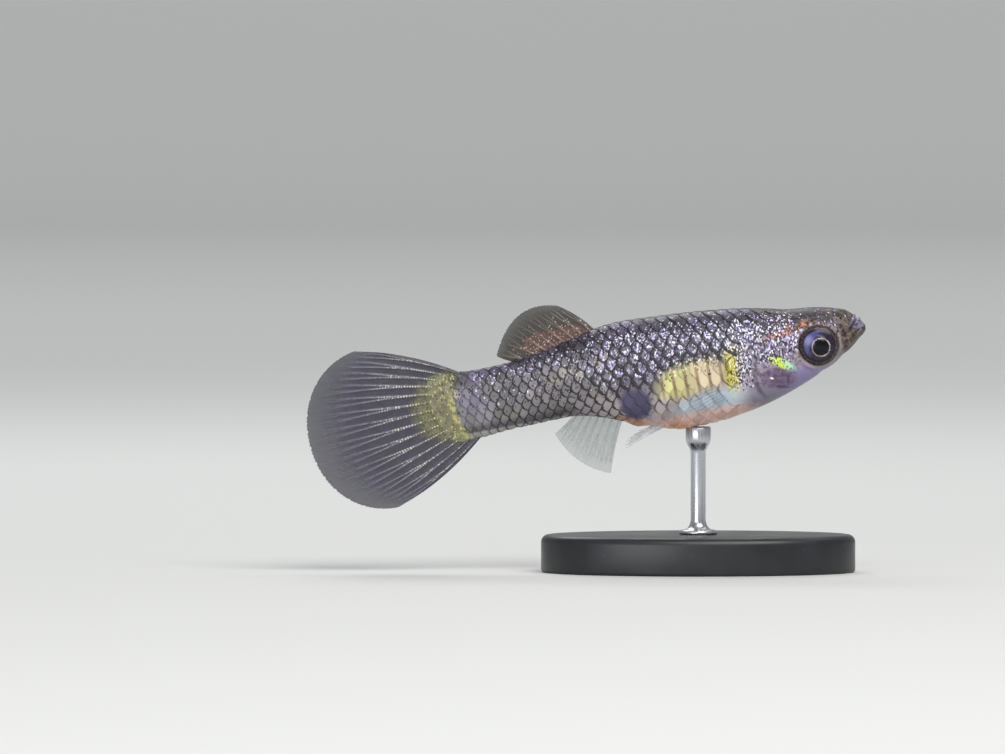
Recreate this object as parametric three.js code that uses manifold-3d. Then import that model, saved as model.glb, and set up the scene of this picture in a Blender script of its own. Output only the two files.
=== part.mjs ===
// A female fancy guppy at life size, swimming with its fins spread, held over a flat base by one short rod.
// Millimetres, +Z up. The head points along +X and the fish's right side faces -Y.
import * as THREE from "three";
import { mergeVertices } from "three/addons/utils/BufferGeometryUtils.js";
import Module from "manifold-3d";

const wasm = await Module();
wasm.setup();

// Driving dimensions
const STANDARD_LENGTH = 32.6; // snout to the root of the tail fin
const BODY_DEPTH = 9.05; // back to belly, at the deepest place
const BODY_WIDTH = 6.1; // across the shoulders, at the widest place
const TAIL_FIN_LENGTH = 12.5; // the middle rays of the tail fin
const EYE_RADIUS = 1.58;
const PITCH_DEGREES = 10.8; // how far the snout points up
const TAIL_CLEARANCE = 5; // from the floor to the lowest tip of the tail fin
const GAP = 0.3; // kept between two pieces that touch
const MEMBRANE = 0.5; // thickness of the skin between two fin rays
const RAY_RIDGE = 0.14; // how far a ray stands out of each face of its fin

// Where things are along the body, as distances from the snout
const EYE_AT = 3.86;
const EYE_HEIGHT = -0.77;
const NECK_AT = 9.75; // where the gills open, at the hindmost place of the cover
const STALK_AT = 27.1;
const ROD_AT_X = 9;

// The stand
const BASE_LENGTH = 25;
const BASE_WIDTH = 15;
const BASE_THICKNESS = 3;
const ROD_RADIUS = 0.6;

// Outlines of the body. Each line is a list of [share of the standard length, share of the body's size].
const BACK_LINE = [
  [0, 0.03], [0.006, 0.062], [0.016, 0.098], [0.031, 0.154], [0.064, 0.205], [0.112, 0.246], [0.17, 0.269],
  [0.275, 0.347], [0.383, 0.397], [0.49, 0.425], [0.628, 0.431], [0.71, 0.368], [0.81, 0.296],
  [0.9, 0.263], [0.966, 0.264], [1, 0.278],
];
const BELLY_LINE = [
  [0, 0.046], [0.006, 0.068], [0.016, 0.093], [0.031, 0.14], [0.062, 0.213], [0.113, 0.31], [0.196, 0.434],
  [0.276, 0.52], [0.353, 0.567], [0.43, 0.585], [0.49, 0.58], [0.537, 0.53], [0.613, 0.426], [0.696, 0.32],
  [0.752, 0.284], [0.844, 0.285], [0.92, 0.297], [0.966, 0.312], [1, 0.33],
];
const WIDTH_LINE = [
  [0, 0.2], [0.006, 0.3], [0.016, 0.42], [0.034, 0.54], [0.068, 0.66], [0.12, 0.765], [0.17, 0.835],
  [0.245, 0.905], [0.35, 0.99], [0.43, 1], [0.5, 0.97], [0.56, 0.885], [0.62, 0.785], [0.69, 0.66],
  [0.77, 0.53], [0.85, 0.42], [0.92, 0.34], [0.966, 0.285], [1, 0.235],
];
// The height of the widest place, and how square the section is above and below it
const WIDEST_LINE = [
  [0, -0.01], [0.1, -0.04], [0.3, -0.08], [0.45, -0.13], [0.62, -0.05], [0.8, 0], [1, -0.02],
];
const CROWN_LINE = [[0, 2.1], [0.06, 2.5], [0.15, 2.6], [0.3, 2.2], [0.6, 2], [1, 1.9]];
const THROAT_LINE = [[0, 2.1], [0.1, 2.6], [0.25, 2.3], [0.45, 2.2], [0.6, 2], [1, 1.9]];

const CROSS_STEPS = 28; // points around a section of the body
const LONG_STEPS = 38; // sections along it
const NOSE_CROWDING = 1.45; // above 1, sections crowd towards the snout
const STALK_LEAN = 0.14; // how far the stalk's end leans back towards its top

// A smooth function through points that are sorted by their first number
function smoothThrough(points) {
  const slope = (a, b) => (b[1] - a[1]) / (b[0] - a[0]);
  const tangents = points.map((p, i) => {
    const before = points[Math.max(i - 1, 0)];
    const after = points[Math.min(i + 1, points.length - 1)];
    return slope(before, after);
  });
  return (x) => {
    let i = points.findIndex((p) => p[0] >= x);
    if (i < 0) i = points.length - 1;
    i = Math.max(i, 1);
    const [a, b] = [points[i - 1], points[i]];
    const span = b[0] - a[0];
    const t = (x - a[0]) / span;
    const curved = THREE.MathUtils.clamp(t, 0, 1);
    const [c2, c3] = [curved ** 2, curved ** 3];
    return (
      a[1] * (2 * c3 - 3 * c2 + 1) + tangents[i - 1] * span * (c3 - 2 * c2 + curved) +
      b[1] * (3 * c2 - 2 * c3) + tangents[i] * span * (c3 - c2)
    );
  };
}

const backShare = smoothThrough(BACK_LINE);
const bellyShare = smoothThrough(BELLY_LINE);
const widthShare = smoothThrough(WIDTH_LINE);
const widestShare = smoothThrough(WIDEST_LINE);
const crownPower = smoothThrough(CROWN_LINE);
const throatPower = smoothThrough(THROAT_LINE);

const backAt = (s) => BODY_DEPTH * backShare(s / STANDARD_LENGTH);
const bellyAt = (s) => -BODY_DEPTH * bellyShare(s / STANDARD_LENGTH);
const halfWidthAt = (s) => (BODY_WIDTH / 2) * widthShare(s / STANDARD_LENGTH);

// A point of the body's skin, s from the snout and turned by angle from the fish's left side over its back.
// grow swells or shrinks the whole body by that much.
function skinPoint(s, angle, grow = 0) {
  const share = THREE.MathUtils.clamp(s / STANDARD_LENGTH, 0, 1);
  const widest = BODY_DEPTH * widestShare(share);
  const up = Math.sin(angle) >= 0;
  const reach = up ? backAt(s) - widest + grow : widest - bellyAt(s) + grow;
  const power = 2 / (up ? crownPower(share) : throatPower(share));
  const round = (v) => Math.sign(v) * Math.abs(v) ** power;
  const z = widest + reach * round(Math.sin(angle));
  const y = (halfWidthAt(s) + grow) * round(Math.cos(angle));
  const lean = STALK_LEAN * z * THREE.MathUtils.smoothstep(share, 0.88, 1);
  return new THREE.Vector3(-s - lean, y, z);
}

// The skin's half width at distance s and height z
function halfWidthAtHeight(s, z) {
  const share = s / STANDARD_LENGTH;
  const widest = BODY_DEPTH * widestShare(share);
  const reach = z > widest ? backAt(s) - widest : widest - bellyAt(s);
  const power = z > widest ? crownPower(share) : throatPower(share);
  const level = Math.min(Math.abs(z - widest) / reach, 1);
  return halfWidthAt(s) * (1 - level ** power) ** (1 / power);
}

// Closes a grid of points into one body. rings[i][j] is point j of ring i, and each end is closed with a fan.
function loftGeometry(rings) {
  const around = rings[0].length;
  const centre = (ring) => ring.reduce((sum, p) => sum.add(p), new THREE.Vector3()).divideScalar(around);
  const points = [...rings.flat(), centre(rings[0]), centre(rings.at(-1))];
  const faces = [];
  for (let i = 0; i + 1 < rings.length; i++) {
    for (let j = 0; j < around; j++) {
      const [a, b] = [i * around + j, i * around + ((j + 1) % around)];
      faces.push(a, a + around, b, b, a + around, b + around);
    }
  }
  const last = (rings.length - 1) * around;
  for (let j = 0; j < around; j++) {
    const next = (j + 1) % around;
    faces.push(rings.length * around, j, next, rings.length * around + 1, last + next, last + j);
  }
  return new THREE.BufferGeometry().setFromPoints(points).setIndex(faces);
}

function bodyGeometry(grow = 0) {
  const rings = [];
  for (let i = 0; i <= LONG_STEPS; i++) {
    const share = (i / LONG_STEPS) ** NOSE_CROWDING;
    const ring = [];
    for (let j = 0; j < CROSS_STEPS; j++) {
      const point = skinPoint(STANDARD_LENGTH * share, (j / CROSS_STEPS) * Math.PI * 2, grow);
      point.x += grow * (1 - 2 * share);
      ring.push(point);
    }
    rings.push(ring);
  }
  return loftGeometry(rings);
}

// Joining and cutting
function solidOf(geometry) {
  const plain = new THREE.BufferGeometry().setAttribute("position", geometry.getAttribute("position"));
  plain.setIndex(geometry.index);
  const merged = mergeVertices(plain, 1e-5);
  const vertProperties = new Float32Array(merged.attributes.position.array);
  const triVerts = new Uint32Array(merged.index.array);
  const made = new wasm.Manifold(new wasm.Mesh({ numProp: 3, vertProperties, triVerts }));
  if (made.volume() > 0) return made;
  for (let i = 0; i < triVerts.length; i += 3) {
    [triVerts[i + 1], triVerts[i + 2]] = [triVerts[i + 2], triVerts[i + 1]];
  }
  return new wasm.Manifold(new wasm.Mesh({ numProp: 3, vertProperties, triVerts }));
}

const bySize = (solid) => solid.decompose().sort((a, b) => b.volume() - a.volume());

function meshOf(solid, name, material) {
  const mesh = bySize(solid)[0].getMesh();
  const geometry = new THREE.BufferGeometry();
  geometry.setAttribute("position", new THREE.BufferAttribute(new Float32Array(mesh.vertProperties), 3));
  geometry.setIndex(new THREE.BufferAttribute(new Uint32Array(mesh.triVerts), 1));
  geometry.computeVertexNormals();
  const made = new THREE.Mesh(geometry, material);
  made.name = name;
  return made;
}

// A flat outline in the plane of the fish, [distance from the snout, height], as a block from y0 to y1
function sideBlock(outline, y0, y1) {
  const shape = new THREE.Shape(outline.map(([s, z]) => new THREE.Vector2(-s, z)));
  const block = new THREE.ExtrudeGeometry(shape, { depth: y1 - y0, bevelEnabled: false });
  return solidOf(block.rotateX(Math.PI / 2).translate(0, y1, 0));
}

// A thin cut through the whole body along a line in the plane of the fish
function thinCut(line, width = GAP) {
  const points = line.map(([s, z]) => new THREE.Vector2(s, z));
  const edge = (side) =>
    points.map((p, i) => {
      const next = points[Math.min(i + 1, points.length - 1)];
      const along = next.clone().sub(points[Math.max(i - 1, 0)]).normalize();
      return [p.x - (along.y * side * width) / 2, p.y + (along.x * side * width) / 2];
    });
  return sideBlock([...edge(1), ...edge(-1).reverse()], -BODY_WIDTH, BODY_WIDTH);
}

// Head: the lips round the mouth, the nostrils, the eyes in their sockets and the gill covers
const MOUTH_FRONT = new THREE.Vector2(0.56, 0.68); // [distance, height], between the middles of the lips
const MOUTH_CORNER = new THREE.Vector2(1.2, -0.1);
const MOUTH_HALF_WIDTH = 1.18;
const LIP_RADIUS = 0.26;
const LIP_OFFSET = 0.3; // from the mouth's line to the middle of each lip
const JAW_HINGE = new THREE.Vector2(1.5, -0.5);
const JAW_HEEL = new THREE.Vector2(1.66, -3);

// One lip: a rod bent round the mouth, thinner towards its corners
function lipGeometry(side) {
  const rings = [];
  const [steps, around] = [14, 8];
  const across = MOUTH_CORNER.clone().sub(MOUTH_FRONT).normalize();
  for (let i = 0; i <= steps; i++) {
    const turn = (i / steps - 0.5) * Math.PI * 0.96;
    const back = 1 - Math.cos(turn);
    const line = MOUTH_FRONT.clone().lerp(MOUTH_CORNER, back);
    const [s, z] = [line.x - across.y * LIP_OFFSET * side, line.y + across.x * LIP_OFFSET * side];
    const middle = new THREE.Vector3(-s, MOUTH_HALF_WIDTH * Math.sin(turn), z);
    const radius = LIP_RADIUS * (0.62 + 0.38 * Math.cos(turn));
    const outwards = new THREE.Vector3(Math.cos(turn), Math.sin(turn), 0);
    const upwards = new THREE.Vector3(0, 0, 1);
    const ring = [];
    for (let j = 0; j < around; j++) {
      const angle = (j / around) * Math.PI * 2;
      const offset = outwards.clone().multiplyScalar(Math.cos(angle));
      offset.addScaledVector(upwards, Math.sin(angle));
      ring.push(middle.clone().addScaledVector(offset, radius));
    }
    rings.push(ring);
  }
  return loftGeometry(rings);
}

const EYE_OUT = 0.72; // the clear front of the eye stands this far out of its rim
const EYE_IN = 0.8; // and its back lies this deep
const LENS_BULGE = 0.12;
const EYE_RIM_AT = 1.95; // from the middle of the head to the eye's rim
const EYE_STEPS = 9;

// An eyeball, turned about its own axis, with the bulge of its lens in the middle of the front
function eyeGeometry(side, grow = 0) {
  const profile = [];
  for (let i = 0; i <= EYE_STEPS * 2; i++) {
    const turn = (i / (EYE_STEPS * 2) - 0.5) * Math.PI;
    const radius = (EYE_RADIUS + grow) * Math.cos(turn);
    const depth = (turn < 0 ? EYE_IN : EYE_OUT) + grow;
    const lens = turn > 0 ? LENS_BULGE * (1 - THREE.MathUtils.smoothstep(radius, 0.35, 0.95)) : 0;
    profile.push(new THREE.Vector2(Math.max(radius, 0), depth * Math.sin(turn) + lens));
  }
  profile[0].x = 0;
  profile.at(-1).x = 0;
  const ball = new THREE.LatheGeometry(profile, 22);
  if (side < 0) ball.rotateX(Math.PI);
  return ball.translate(-EYE_AT, side * EYE_RIM_AT, EYE_HEIGHT);
}

const NOSTRIL = { at: 1.75, height: 0.95, radius: 0.24 };

// The hollow of a nostril: a ball whose middle lies a little outside the skin
function nostrilGeometry(side) {
  const y = side * (halfWidthAtHeight(NOSTRIL.at, NOSTRIL.height) + NOSTRIL.radius * 0.35);
  return new THREE.SphereGeometry(NOSTRIL.radius, 10, 8).translate(-NOSTRIL.at, y, NOSTRIL.height);
}

const GILL_COVER = { at: 7.5, height: -1.5, long: 1.6, tall: 2.25, lean: 0.12, thickness: 0.6, lift: 0.12 };

// The outline of a gill cover seen from the side: rounded behind, flatter towards the cheek
function gillOutline(grow) {
  const outline = [];
  for (let i = 0; i < 28; i++) {
    const angle = (i / 28) * Math.PI * 2;
    const blunt = Math.cos(angle) < 0 ? 0.88 : 1;
    const long = (GILL_COVER.long + grow) * Math.cos(angle) * blunt;
    const tall = (GILL_COVER.tall + grow) * Math.sin(angle);
    outline.push([GILL_COVER.at + long - tall * GILL_COVER.lean, GILL_COVER.height + tall]);
  }
  return outline;
}

function gillBlock(side, grow) {
  const [inner, outer] = [BODY_WIDTH * 0.12, BODY_WIDTH];
  return sideBlock(gillOutline(grow), side > 0 ? inner : -outer, side > 0 ? outer : -inner);
}

// Fins. root and tip give the ends of the ray at t, from 0 at the leading edge to 1 at the trailing one.
// bulge bends the outer rays away from the middle, wave ripples the fin, and forked rays split towards
// their tips.
function finGeometry({ root, tip, rays, rows, bulge = 0, wave = () => 0, forked = true, fringe = 0.1 }) {
  const [middle, spread] = [tip(0.5).sub(root(0.5)), root(1).sub(root(0)).normalize()];
  const normal = new THREE.Vector3().crossVectors(middle, spread).normalize();
  const columns = [];
  for (let i = 0; i < rays; i++) {
    columns.push({ ray: i, part: 0, high: i === 0 ? 0.8 : 0 });
    if (forked) columns.push({ ray: i, part: -1, high: 1 });
    columns.push({ ray: i, part: 0.5, high: 1, splits: forked });
    if (forked) columns.push({ ray: i, part: 1, high: 1 });
  }
  columns.push({ ray: rays, part: 0, high: 0.8 });
  const forkFrom = 0.45;
  const faces = [[], []];
  for (const column of columns) {
    const strips = [[], []];
    for (let row = 0; row <= rows; row++) {
      const v = row / rows;
      const fork = THREE.MathUtils.smoothstep(v, forkFrom, 1);
      const stem = 0.09 + 0.16 * fork;
      const part = Math.abs(column.part) === 1 ? 0.5 + column.part * stem : column.part;
      const t = (column.ray + part) / rays;
      const [from, to] = [root(t), tip(t)];
      const control = from.clone().add(to).multiplyScalar(0.5);
      control.addScaledVector(spread, 2 * bulge * (2 * t - 1));
      const point = from.multiplyScalar((1 - v) ** 2).addScaledVector(control, 2 * v * (1 - v));
      point.addScaledVector(to, v ** 2).addScaledVector(normal, wave(t, v));
      const high = column.splits ? 1 - fork : column.high;
      point.addScaledVector(middle.clone().normalize(), row === rows ? fringe * (high - 0.5) : 0);
      const taper = 1 - 0.62 * THREE.MathUtils.smoothstep(v, 0.8, 1);
      const flesh = 1 + 0.45 * (1 - THREE.MathUtils.smoothstep(v, 0, 0.25));
      const half = (MEMBRANE / 2) * flesh * taper + RAY_RIDGE * high * taper;
      strips[0].push(point.clone().addScaledVector(normal, half));
      strips[1].push(point.addScaledVector(normal, -half));
    }
    faces[0].push(strips[0]);
    faces[1].push(strips[1]);
  }
  // Each column is a ring that runs up one face and down the other, so both faces are split alike.
  const rings = columns.map((column, i) => [...faces[0][i], ...[...faces[1][i]].reverse()]);
  return plateGeometry(rings);
}

// A plate from rings that run up one face and down the other. Strips across the ring close its two ends.
function plateGeometry(rings) {
  const around = rings[0].length;
  const half = around / 2;
  const faces = [];
  const quad = (a, b, c, d) => faces.push(a, b, c, a, c, d);
  for (let i = 0; i + 1 < rings.length; i++) {
    for (let j = 0; j < around; j++) {
      const k = (j + 1) % around;
      const [a, b, c, d] = [i * around + j, i * around + k, (i + 1) * around + k, (i + 1) * around + j];
      if (j < half) quad(a, b, c, d);
      else quad(b, c, d, a);
    }
  }
  const last = (rings.length - 1) * around;
  for (let j = 0; j + 1 < half; j++) {
    const [a, b, c, d] = [j, j + 1, around - 2 - j, around - 1 - j];
    quad(a, d, c, b);
    quad(last + a, last + b, last + c, last + d);
  }
  return new THREE.BufferGeometry().setFromPoints(rings.flat()).setIndex(faces);
}

const vector = (s, y, z) => new THREE.Vector3(-s, y, z);
const bend = (from, through, to) => {
  const control = through.clone().multiplyScalar(2).sub(from.clone().add(to).multiplyScalar(0.5));
  return (t) => new THREE.QuadraticBezierCurve3(from, control, to).getPoint(t);
};

// The tail fin spreads from the end of the stalk, its middle a little lower than the body's line.
const TAIL_FIN = { middle: -5, spread: 42, rootHeight: -0.2, shortening: 0.23, shorteningPower: 2.3 };

function tailFin() {
  const tip = (t) => {
    const u = 1 - 2 * t;
    const angle = THREE.MathUtils.degToRad(TAIL_FIN.middle + TAIL_FIN.spread * u);
    const length = TAIL_FIN_LENGTH * (1 - TAIL_FIN.shortening * Math.abs(u) ** TAIL_FIN.shorteningPower);
    const height = TAIL_FIN.rootHeight + length * Math.sin(angle);
    return vector(STANDARD_LENGTH + length * Math.cos(angle), 0, height);
  };
  const root = (t) => {
    const [top, bottom] = [backAt(STANDARD_LENGTH) * 0.96, bellyAt(STANDARD_LENGTH) * 0.98];
    const z = THREE.MathUtils.lerp(top, bottom, t);
    return vector(STANDARD_LENGTH - 0.7 + STALK_LEAN * z, 0, z);
  };
  const wave = (t, v) => 0.42 * v ** 2 * Math.sin(4.2 * t - 0.9);
  return finGeometry({ root, tip, rays: 14, rows: 10, bulge: 0.5, wave, fringe: 0.22 });
}

const DORSAL = {
  from: 20.7,
  to: 26.4,
  peak: vector(23.6, 0, 6.15),
  through: vector(26.8, 0, 6),
  end: vector(29.15, 0, 3.15),
};

function dorsalFin() {
  const root = (t) => {
    const s = THREE.MathUtils.lerp(DORSAL.from, DORSAL.to, t);
    return vector(s, 0, backAt(s) - 0.75);
  };
  const wave = (t, v) => 0.25 * v ** 2 * Math.sin(3 * t);
  const tip = bend(DORSAL.peak, DORSAL.through, DORSAL.end);
  return finGeometry({ root, tip, rays: 8, rows: 8, bulge: 0.28, wave, fringe: 0.16 });
}

const ANAL = {
  from: 19.9,
  to: 23.4,
  front: vector(21.95, 0, -7.75),
  through: vector(24.25, 0, -6.3),
  end: vector(25.75, 0, -3.85),
};

function analFin() {
  const root = (t) => {
    const s = THREE.MathUtils.lerp(ANAL.from, ANAL.to, t);
    return vector(s, 0, bellyAt(s) + 0.75);
  };
  const wave = (t, v) => -0.3 * v ** 2 * Math.cos(2.6 * t);
  const tip = bend(ANAL.front, ANAL.through, ANAL.end);
  return finGeometry({ root, tip, rays: 7, rows: 7, bulge: -0.15, wave, fringe: 0.14 });
}

// A pectoral fin stands behind the gill cover and folds back and down along the flank.
function pectoralFin(side) {
  const y = (s, z, out) => side * (halfWidthAtHeight(s, z) + out);
  const root = (t) => {
    const z = THREE.MathUtils.lerp(-1.95, -3.05, t);
    return vector(10.75, y(10.75, z, -0.7), z);
  };
  const point = (s, z, out) => vector(s, side * (BODY_WIDTH / 2 + out), z);
  const tip = bend(point(15.1, -2.85, 0.75), point(15.85, -4.1, 1), point(14.2, -4.85, 0.9));
  return finGeometry({ root, tip, rays: 8, rows: 7, bulge: 0.25, forked: false, fringe: 0.12 });
}

// A pelvic fin hangs under the belly and trails back, spread a little outwards.
function pelvicFin(side) {
  const root = (t) => vector(16.1 + 0.8 * t, side * (0.85 - 0.3 * t), bellyAt(16.3 + 0.6 * t) + 0.65);
  const front = vector(20.4, side * 1.75, -6);
  const through = vector(20.3, side * 1.25, -5.4);
  const tip = bend(front, through, vector(19.4, side * 0.7, -4.85));
  return finGeometry({ root, tip, rays: 5, rows: 6, bulge: -0.12, forked: false, fringe: 0.1 });
}

// Colours as the fish shows them
const paint = (color, roughness, metalness = 0) =>
  new THREE.MeshStandardMaterial({ color, roughness, metalness });
const flank = paint(0x8f8a86, 0.42, 0.15);
const cheek = paint(0x8c8091, 0.38, 0.2);
const jawSkin = paint(0x9a8fa8, 0.45);
const eyeGlass = paint(0x14121c, 0.08);
const finSkin = paint(0x8b8a92, 0.35);
const backFinSkin = paint(0x8a6f62, 0.4);
const baseFinish = paint(0x17181a, 0.35);
const rodFinish = paint(0xb9bcc0, 0.28, 0.9);

// The whole body, then thin cuts that part it
const body = solidOf(bodyGeometry());
const swollen = solidOf(bodyGeometry(GAP));
const sides = [["left", 1], ["right", -1]];

let whole = body.add(solidOf(lipGeometry(1))).add(solidOf(lipGeometry(-1)));
const fish = new THREE.Group();

for (const [name, side] of sides) {
  whole = whole.subtract(solidOf(eyeGeometry(side, GAP)));
  whole = whole.subtract(solidOf(nostrilGeometry(side)));
  fish.add(meshOf(solidOf(eyeGeometry(side)), `eye_${name}`, eyeGlass));
  const underCover = solidOf(bodyGeometry(-GILL_COVER.thickness));
  const cover = gillBlock(side, 0).intersect(solidOf(bodyGeometry(GILL_COVER.lift))).subtract(underCover);
  fish.add(meshOf(cover, `gill_cover_${name}`, cheek));
  const recess = gillBlock(side, GAP).subtract(solidOf(bodyGeometry(-GILL_COVER.thickness - GAP)));
  whole = whole.subtract(recess);
}

const mouthSlope = MOUTH_FRONT.clone().sub(MOUTH_CORNER);
const beforeMouth = MOUTH_FRONT.clone().addScaledVector(mouthSlope, 2);
const mouthLine = [beforeMouth, MOUTH_FRONT, MOUTH_CORNER, JAW_HINGE, JAW_HEEL].map((p) => [p.x, p.y]);
const neckLine = [
  [NECK_AT - 0.8, BODY_DEPTH], [NECK_AT - 0.55, 1.2], [NECK_AT, -1.2], [NECK_AT - 0.05, -2.9],
  [NECK_AT - 0.6, -4.2], [NECK_AT - 1.1, -BODY_DEPTH],
];
const stalkLine = [[STALK_AT, BODY_DEPTH], [STALK_AT, -BODY_DEPTH]];
const parted = whole.subtract(thinCut(mouthLine)).subtract(thinCut(neckLine)).subtract(thinCut(stalkLine));

// The pieces that the cuts leave, known by where they lie from snout to tail
const along = (piece) => -(piece.boundingBox().max[0] + piece.boundingBox().min[0]);
const pieces = bySize(parted).slice(0, 4).sort((a, b) => along(a) - along(b));
const names = [["lower_jaw", jawSkin], ["head", cheek], ["trunk", flank], ["tail_stalk", flank]];
names.forEach(([name, material], i) => fish.add(meshOf(pieces[i], name, material)));

// Fins, each cut clear of the body that it grows from
const addFin = (geometry, name, material) =>
  fish.add(meshOf(solidOf(geometry).subtract(swollen), name, material));
addFin(tailFin(), "tail_fin", finSkin);
addFin(dorsalFin(), "dorsal_fin", backFinSkin);
addFin(analFin(), "anal_fin", finSkin);
for (const [name, side] of sides) {
  addFin(pectoralFin(side), `pectoral_fin_${name}`, finSkin);
  addFin(pelvicFin(side), `pelvic_fin_${name}`, finSkin);
}

// The fish is pitched, then set so that the middle of its length is over the origin and its tail clears
// the floor.
fish.rotation.y = -THREE.MathUtils.degToRad(PITCH_DEGREES);
fish.updateMatrixWorld(true);
const box = new THREE.Box3().setFromObject(fish, true);
fish.position.set(-(box.min.x + box.max.x) / 2, 0, TAIL_CLEARANCE - box.min.z);
fish.updateMatrixWorld(true);

// The stand: an oval base with a rounded edge, and a rod with a foot below and a small cup under the belly
function baseGeometry() {
  const edge = 0.6;
  const profile = [[0, 0], [1 - 0.02, 0], [1, 0.3], [1, BASE_THICKNESS - edge]];
  for (let i = 1; i <= 4; i++) {
    const turn = (i / 4) * (Math.PI / 2);
    const inset = (edge * (1 - Math.cos(turn))) / (BASE_WIDTH / 2);
    profile.push([1 - inset, BASE_THICKNESS - edge + edge * Math.sin(turn)]);
  }
  profile.push([0, BASE_THICKNESS]);
  const turned = new THREE.LatheGeometry(profile.map(([r, z]) => new THREE.Vector2(r, z)), 40);
  return turned.rotateX(Math.PI / 2).scale(BASE_LENGTH / 2, BASE_WIDTH / 2, 1).translate(ROD_AT_X, 0, 0);
}

function rodGeometry() {
  const [foot, cup, top] = [1.5, 1, TAIL_CLEARANCE + BODY_DEPTH];
  const low = BASE_THICKNESS;
  const profile = [
    [0, low], [foot, low], [foot, low + 0.35], [ROD_RADIUS + 0.15, low + 0.8], [ROD_RADIUS, low + 1.1],
    [ROD_RADIUS, top - 3.1], [cup, top - 2.2], [cup, top], [0, top],
  ];
  const turned = new THREE.LatheGeometry(profile.map(([r, z]) => new THREE.Vector2(r, z)), 20);
  return turned.rotateX(Math.PI / 2).translate(ROD_AT_X, 0, 0);
}

const swollenInPlace = solidOf(bodyGeometry(GAP).applyMatrix4(fish.matrixWorld));
const part = new THREE.Group();
part.add(fish);
part.add(meshOf(solidOf(baseGeometry()), "stand_base", baseFinish));
part.add(meshOf(solidOf(rodGeometry()).subtract(swollenInPlace), "stand_rod", rodFinish));

export default part;
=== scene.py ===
# %% [markdown]
# A female guppy, life size, over a small display stand.
#
# The solids of the part are loaded first, as a frame that nothing here moves. Each piece below is then made
# in the fish's own frame, in millimetres: x runs from the snout (0) back to the tail (negative), z is up
# across the body, and y is 0 in the middle. One matrix, TO_WORLD, carries that frame to the pitched pose.
# A person could also model the fish level and turn the object, but the export wants every object unturned,
# so the turn is baked into the meshes.

import math
from collections import namedtuple

import bmesh
import bpy
import numpy as np
from mathutils import Matrix, Vector


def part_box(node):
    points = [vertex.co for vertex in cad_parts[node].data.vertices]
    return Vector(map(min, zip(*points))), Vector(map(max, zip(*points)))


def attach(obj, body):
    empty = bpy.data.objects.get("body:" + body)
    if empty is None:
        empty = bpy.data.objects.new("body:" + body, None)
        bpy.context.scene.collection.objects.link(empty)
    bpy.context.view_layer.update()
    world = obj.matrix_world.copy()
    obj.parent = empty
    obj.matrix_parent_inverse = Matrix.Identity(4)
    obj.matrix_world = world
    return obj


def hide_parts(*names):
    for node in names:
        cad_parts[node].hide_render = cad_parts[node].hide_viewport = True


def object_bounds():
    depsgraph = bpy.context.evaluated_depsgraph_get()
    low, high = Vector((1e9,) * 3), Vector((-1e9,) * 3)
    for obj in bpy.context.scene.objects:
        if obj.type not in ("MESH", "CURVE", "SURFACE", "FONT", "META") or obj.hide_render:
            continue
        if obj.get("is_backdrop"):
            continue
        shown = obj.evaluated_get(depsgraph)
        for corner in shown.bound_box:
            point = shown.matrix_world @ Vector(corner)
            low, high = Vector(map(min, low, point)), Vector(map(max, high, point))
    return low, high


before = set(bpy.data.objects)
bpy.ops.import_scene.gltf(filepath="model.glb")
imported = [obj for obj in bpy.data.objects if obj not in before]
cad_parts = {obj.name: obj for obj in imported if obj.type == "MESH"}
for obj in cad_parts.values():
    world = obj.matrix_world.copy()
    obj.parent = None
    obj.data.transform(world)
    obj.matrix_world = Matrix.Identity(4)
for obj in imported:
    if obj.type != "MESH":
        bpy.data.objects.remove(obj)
cad_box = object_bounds()


def in_mm(place, digits=1):
    """A place or a size in metres as rounded millimetres, for printing."""
    return [round(v * 1000, digits) for v in place]


print("solids from", in_mm(cad_box[0]), "to", in_mm(cad_box[1]), "mm")

# %% [markdown]
# The eye is round, so the middle of its solid's box is a sure mark. The snout is found from it, and with the
# snout and the pitch every other place on the fish is known.

# %% The fish's own frame
MM = 0.001
PITCH_DEGREES = -10.8
EYE_AT, EYE_HEIGHT, EYE_RADIUS, EYE_RIM_AT = 3.86, -0.77, 1.58, 1.95
PUPIL = (3.72, -0.93)

low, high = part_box("eye_right")
eye_middle = (low + high) / 2
turned = Matrix.Rotation(math.radians(PITCH_DEGREES), 4, "Y")
snout = Vector((eye_middle.x, 0, eye_middle.z)) - turned @ Vector((-EYE_AT, 0, EYE_HEIGHT)) * MM
TO_WORLD = Matrix.Translation(snout) @ turned @ Matrix.Scale(MM, 4)
print("snout at", in_mm(snout, 2), "mm")

# %% [markdown]
# Living shapes have no corners, so three small tools serve all through. smooth_line runs a curve through a
# few measured points, as a bent batten does on a drawing board. step goes from 0 to 1 without a jolt at
# either end, and hump is a soft bump, or a groove where it is taken away. Curve objects could do this too,
# but numbers are easy to read, to measure again and to share between skin, scales and fins.


# %% Smooth lines, steps and humps
def smooth_line(points):
    """A smooth function through points that are sorted by their first number."""
    at, height = np.array(points, float).T
    slope = np.gradient(height, at)

    def line(x):
        x = np.asarray(x, float)
        i = np.clip(np.searchsorted(at, x), 1, len(at) - 1)
        span = at[i] - at[i - 1]
        t = np.clip((x - at[i - 1]) / span, 0, 1)
        near = height[i - 1] * (2 * t**3 - 3 * t**2 + 1) + slope[i - 1] * span * (t**3 - 2 * t**2 + t)
        return near + height[i] * (3 * t**2 - 2 * t**3) + slope[i] * span * (t**3 - t**2)

    return line


def step(x, start, end):
    """0 before start, 1 after end, and smooth between."""
    t = np.clip((x - start) / (end - start), 0, 1)
    return t * t * (3 - 2 * t)


def hump(x, width):
    """1 in the middle, fading away on both sides over about width."""
    return np.exp(-((x / width) ** 2))


print("a step half way is", float(step(0.5, 0, 1)))


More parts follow.
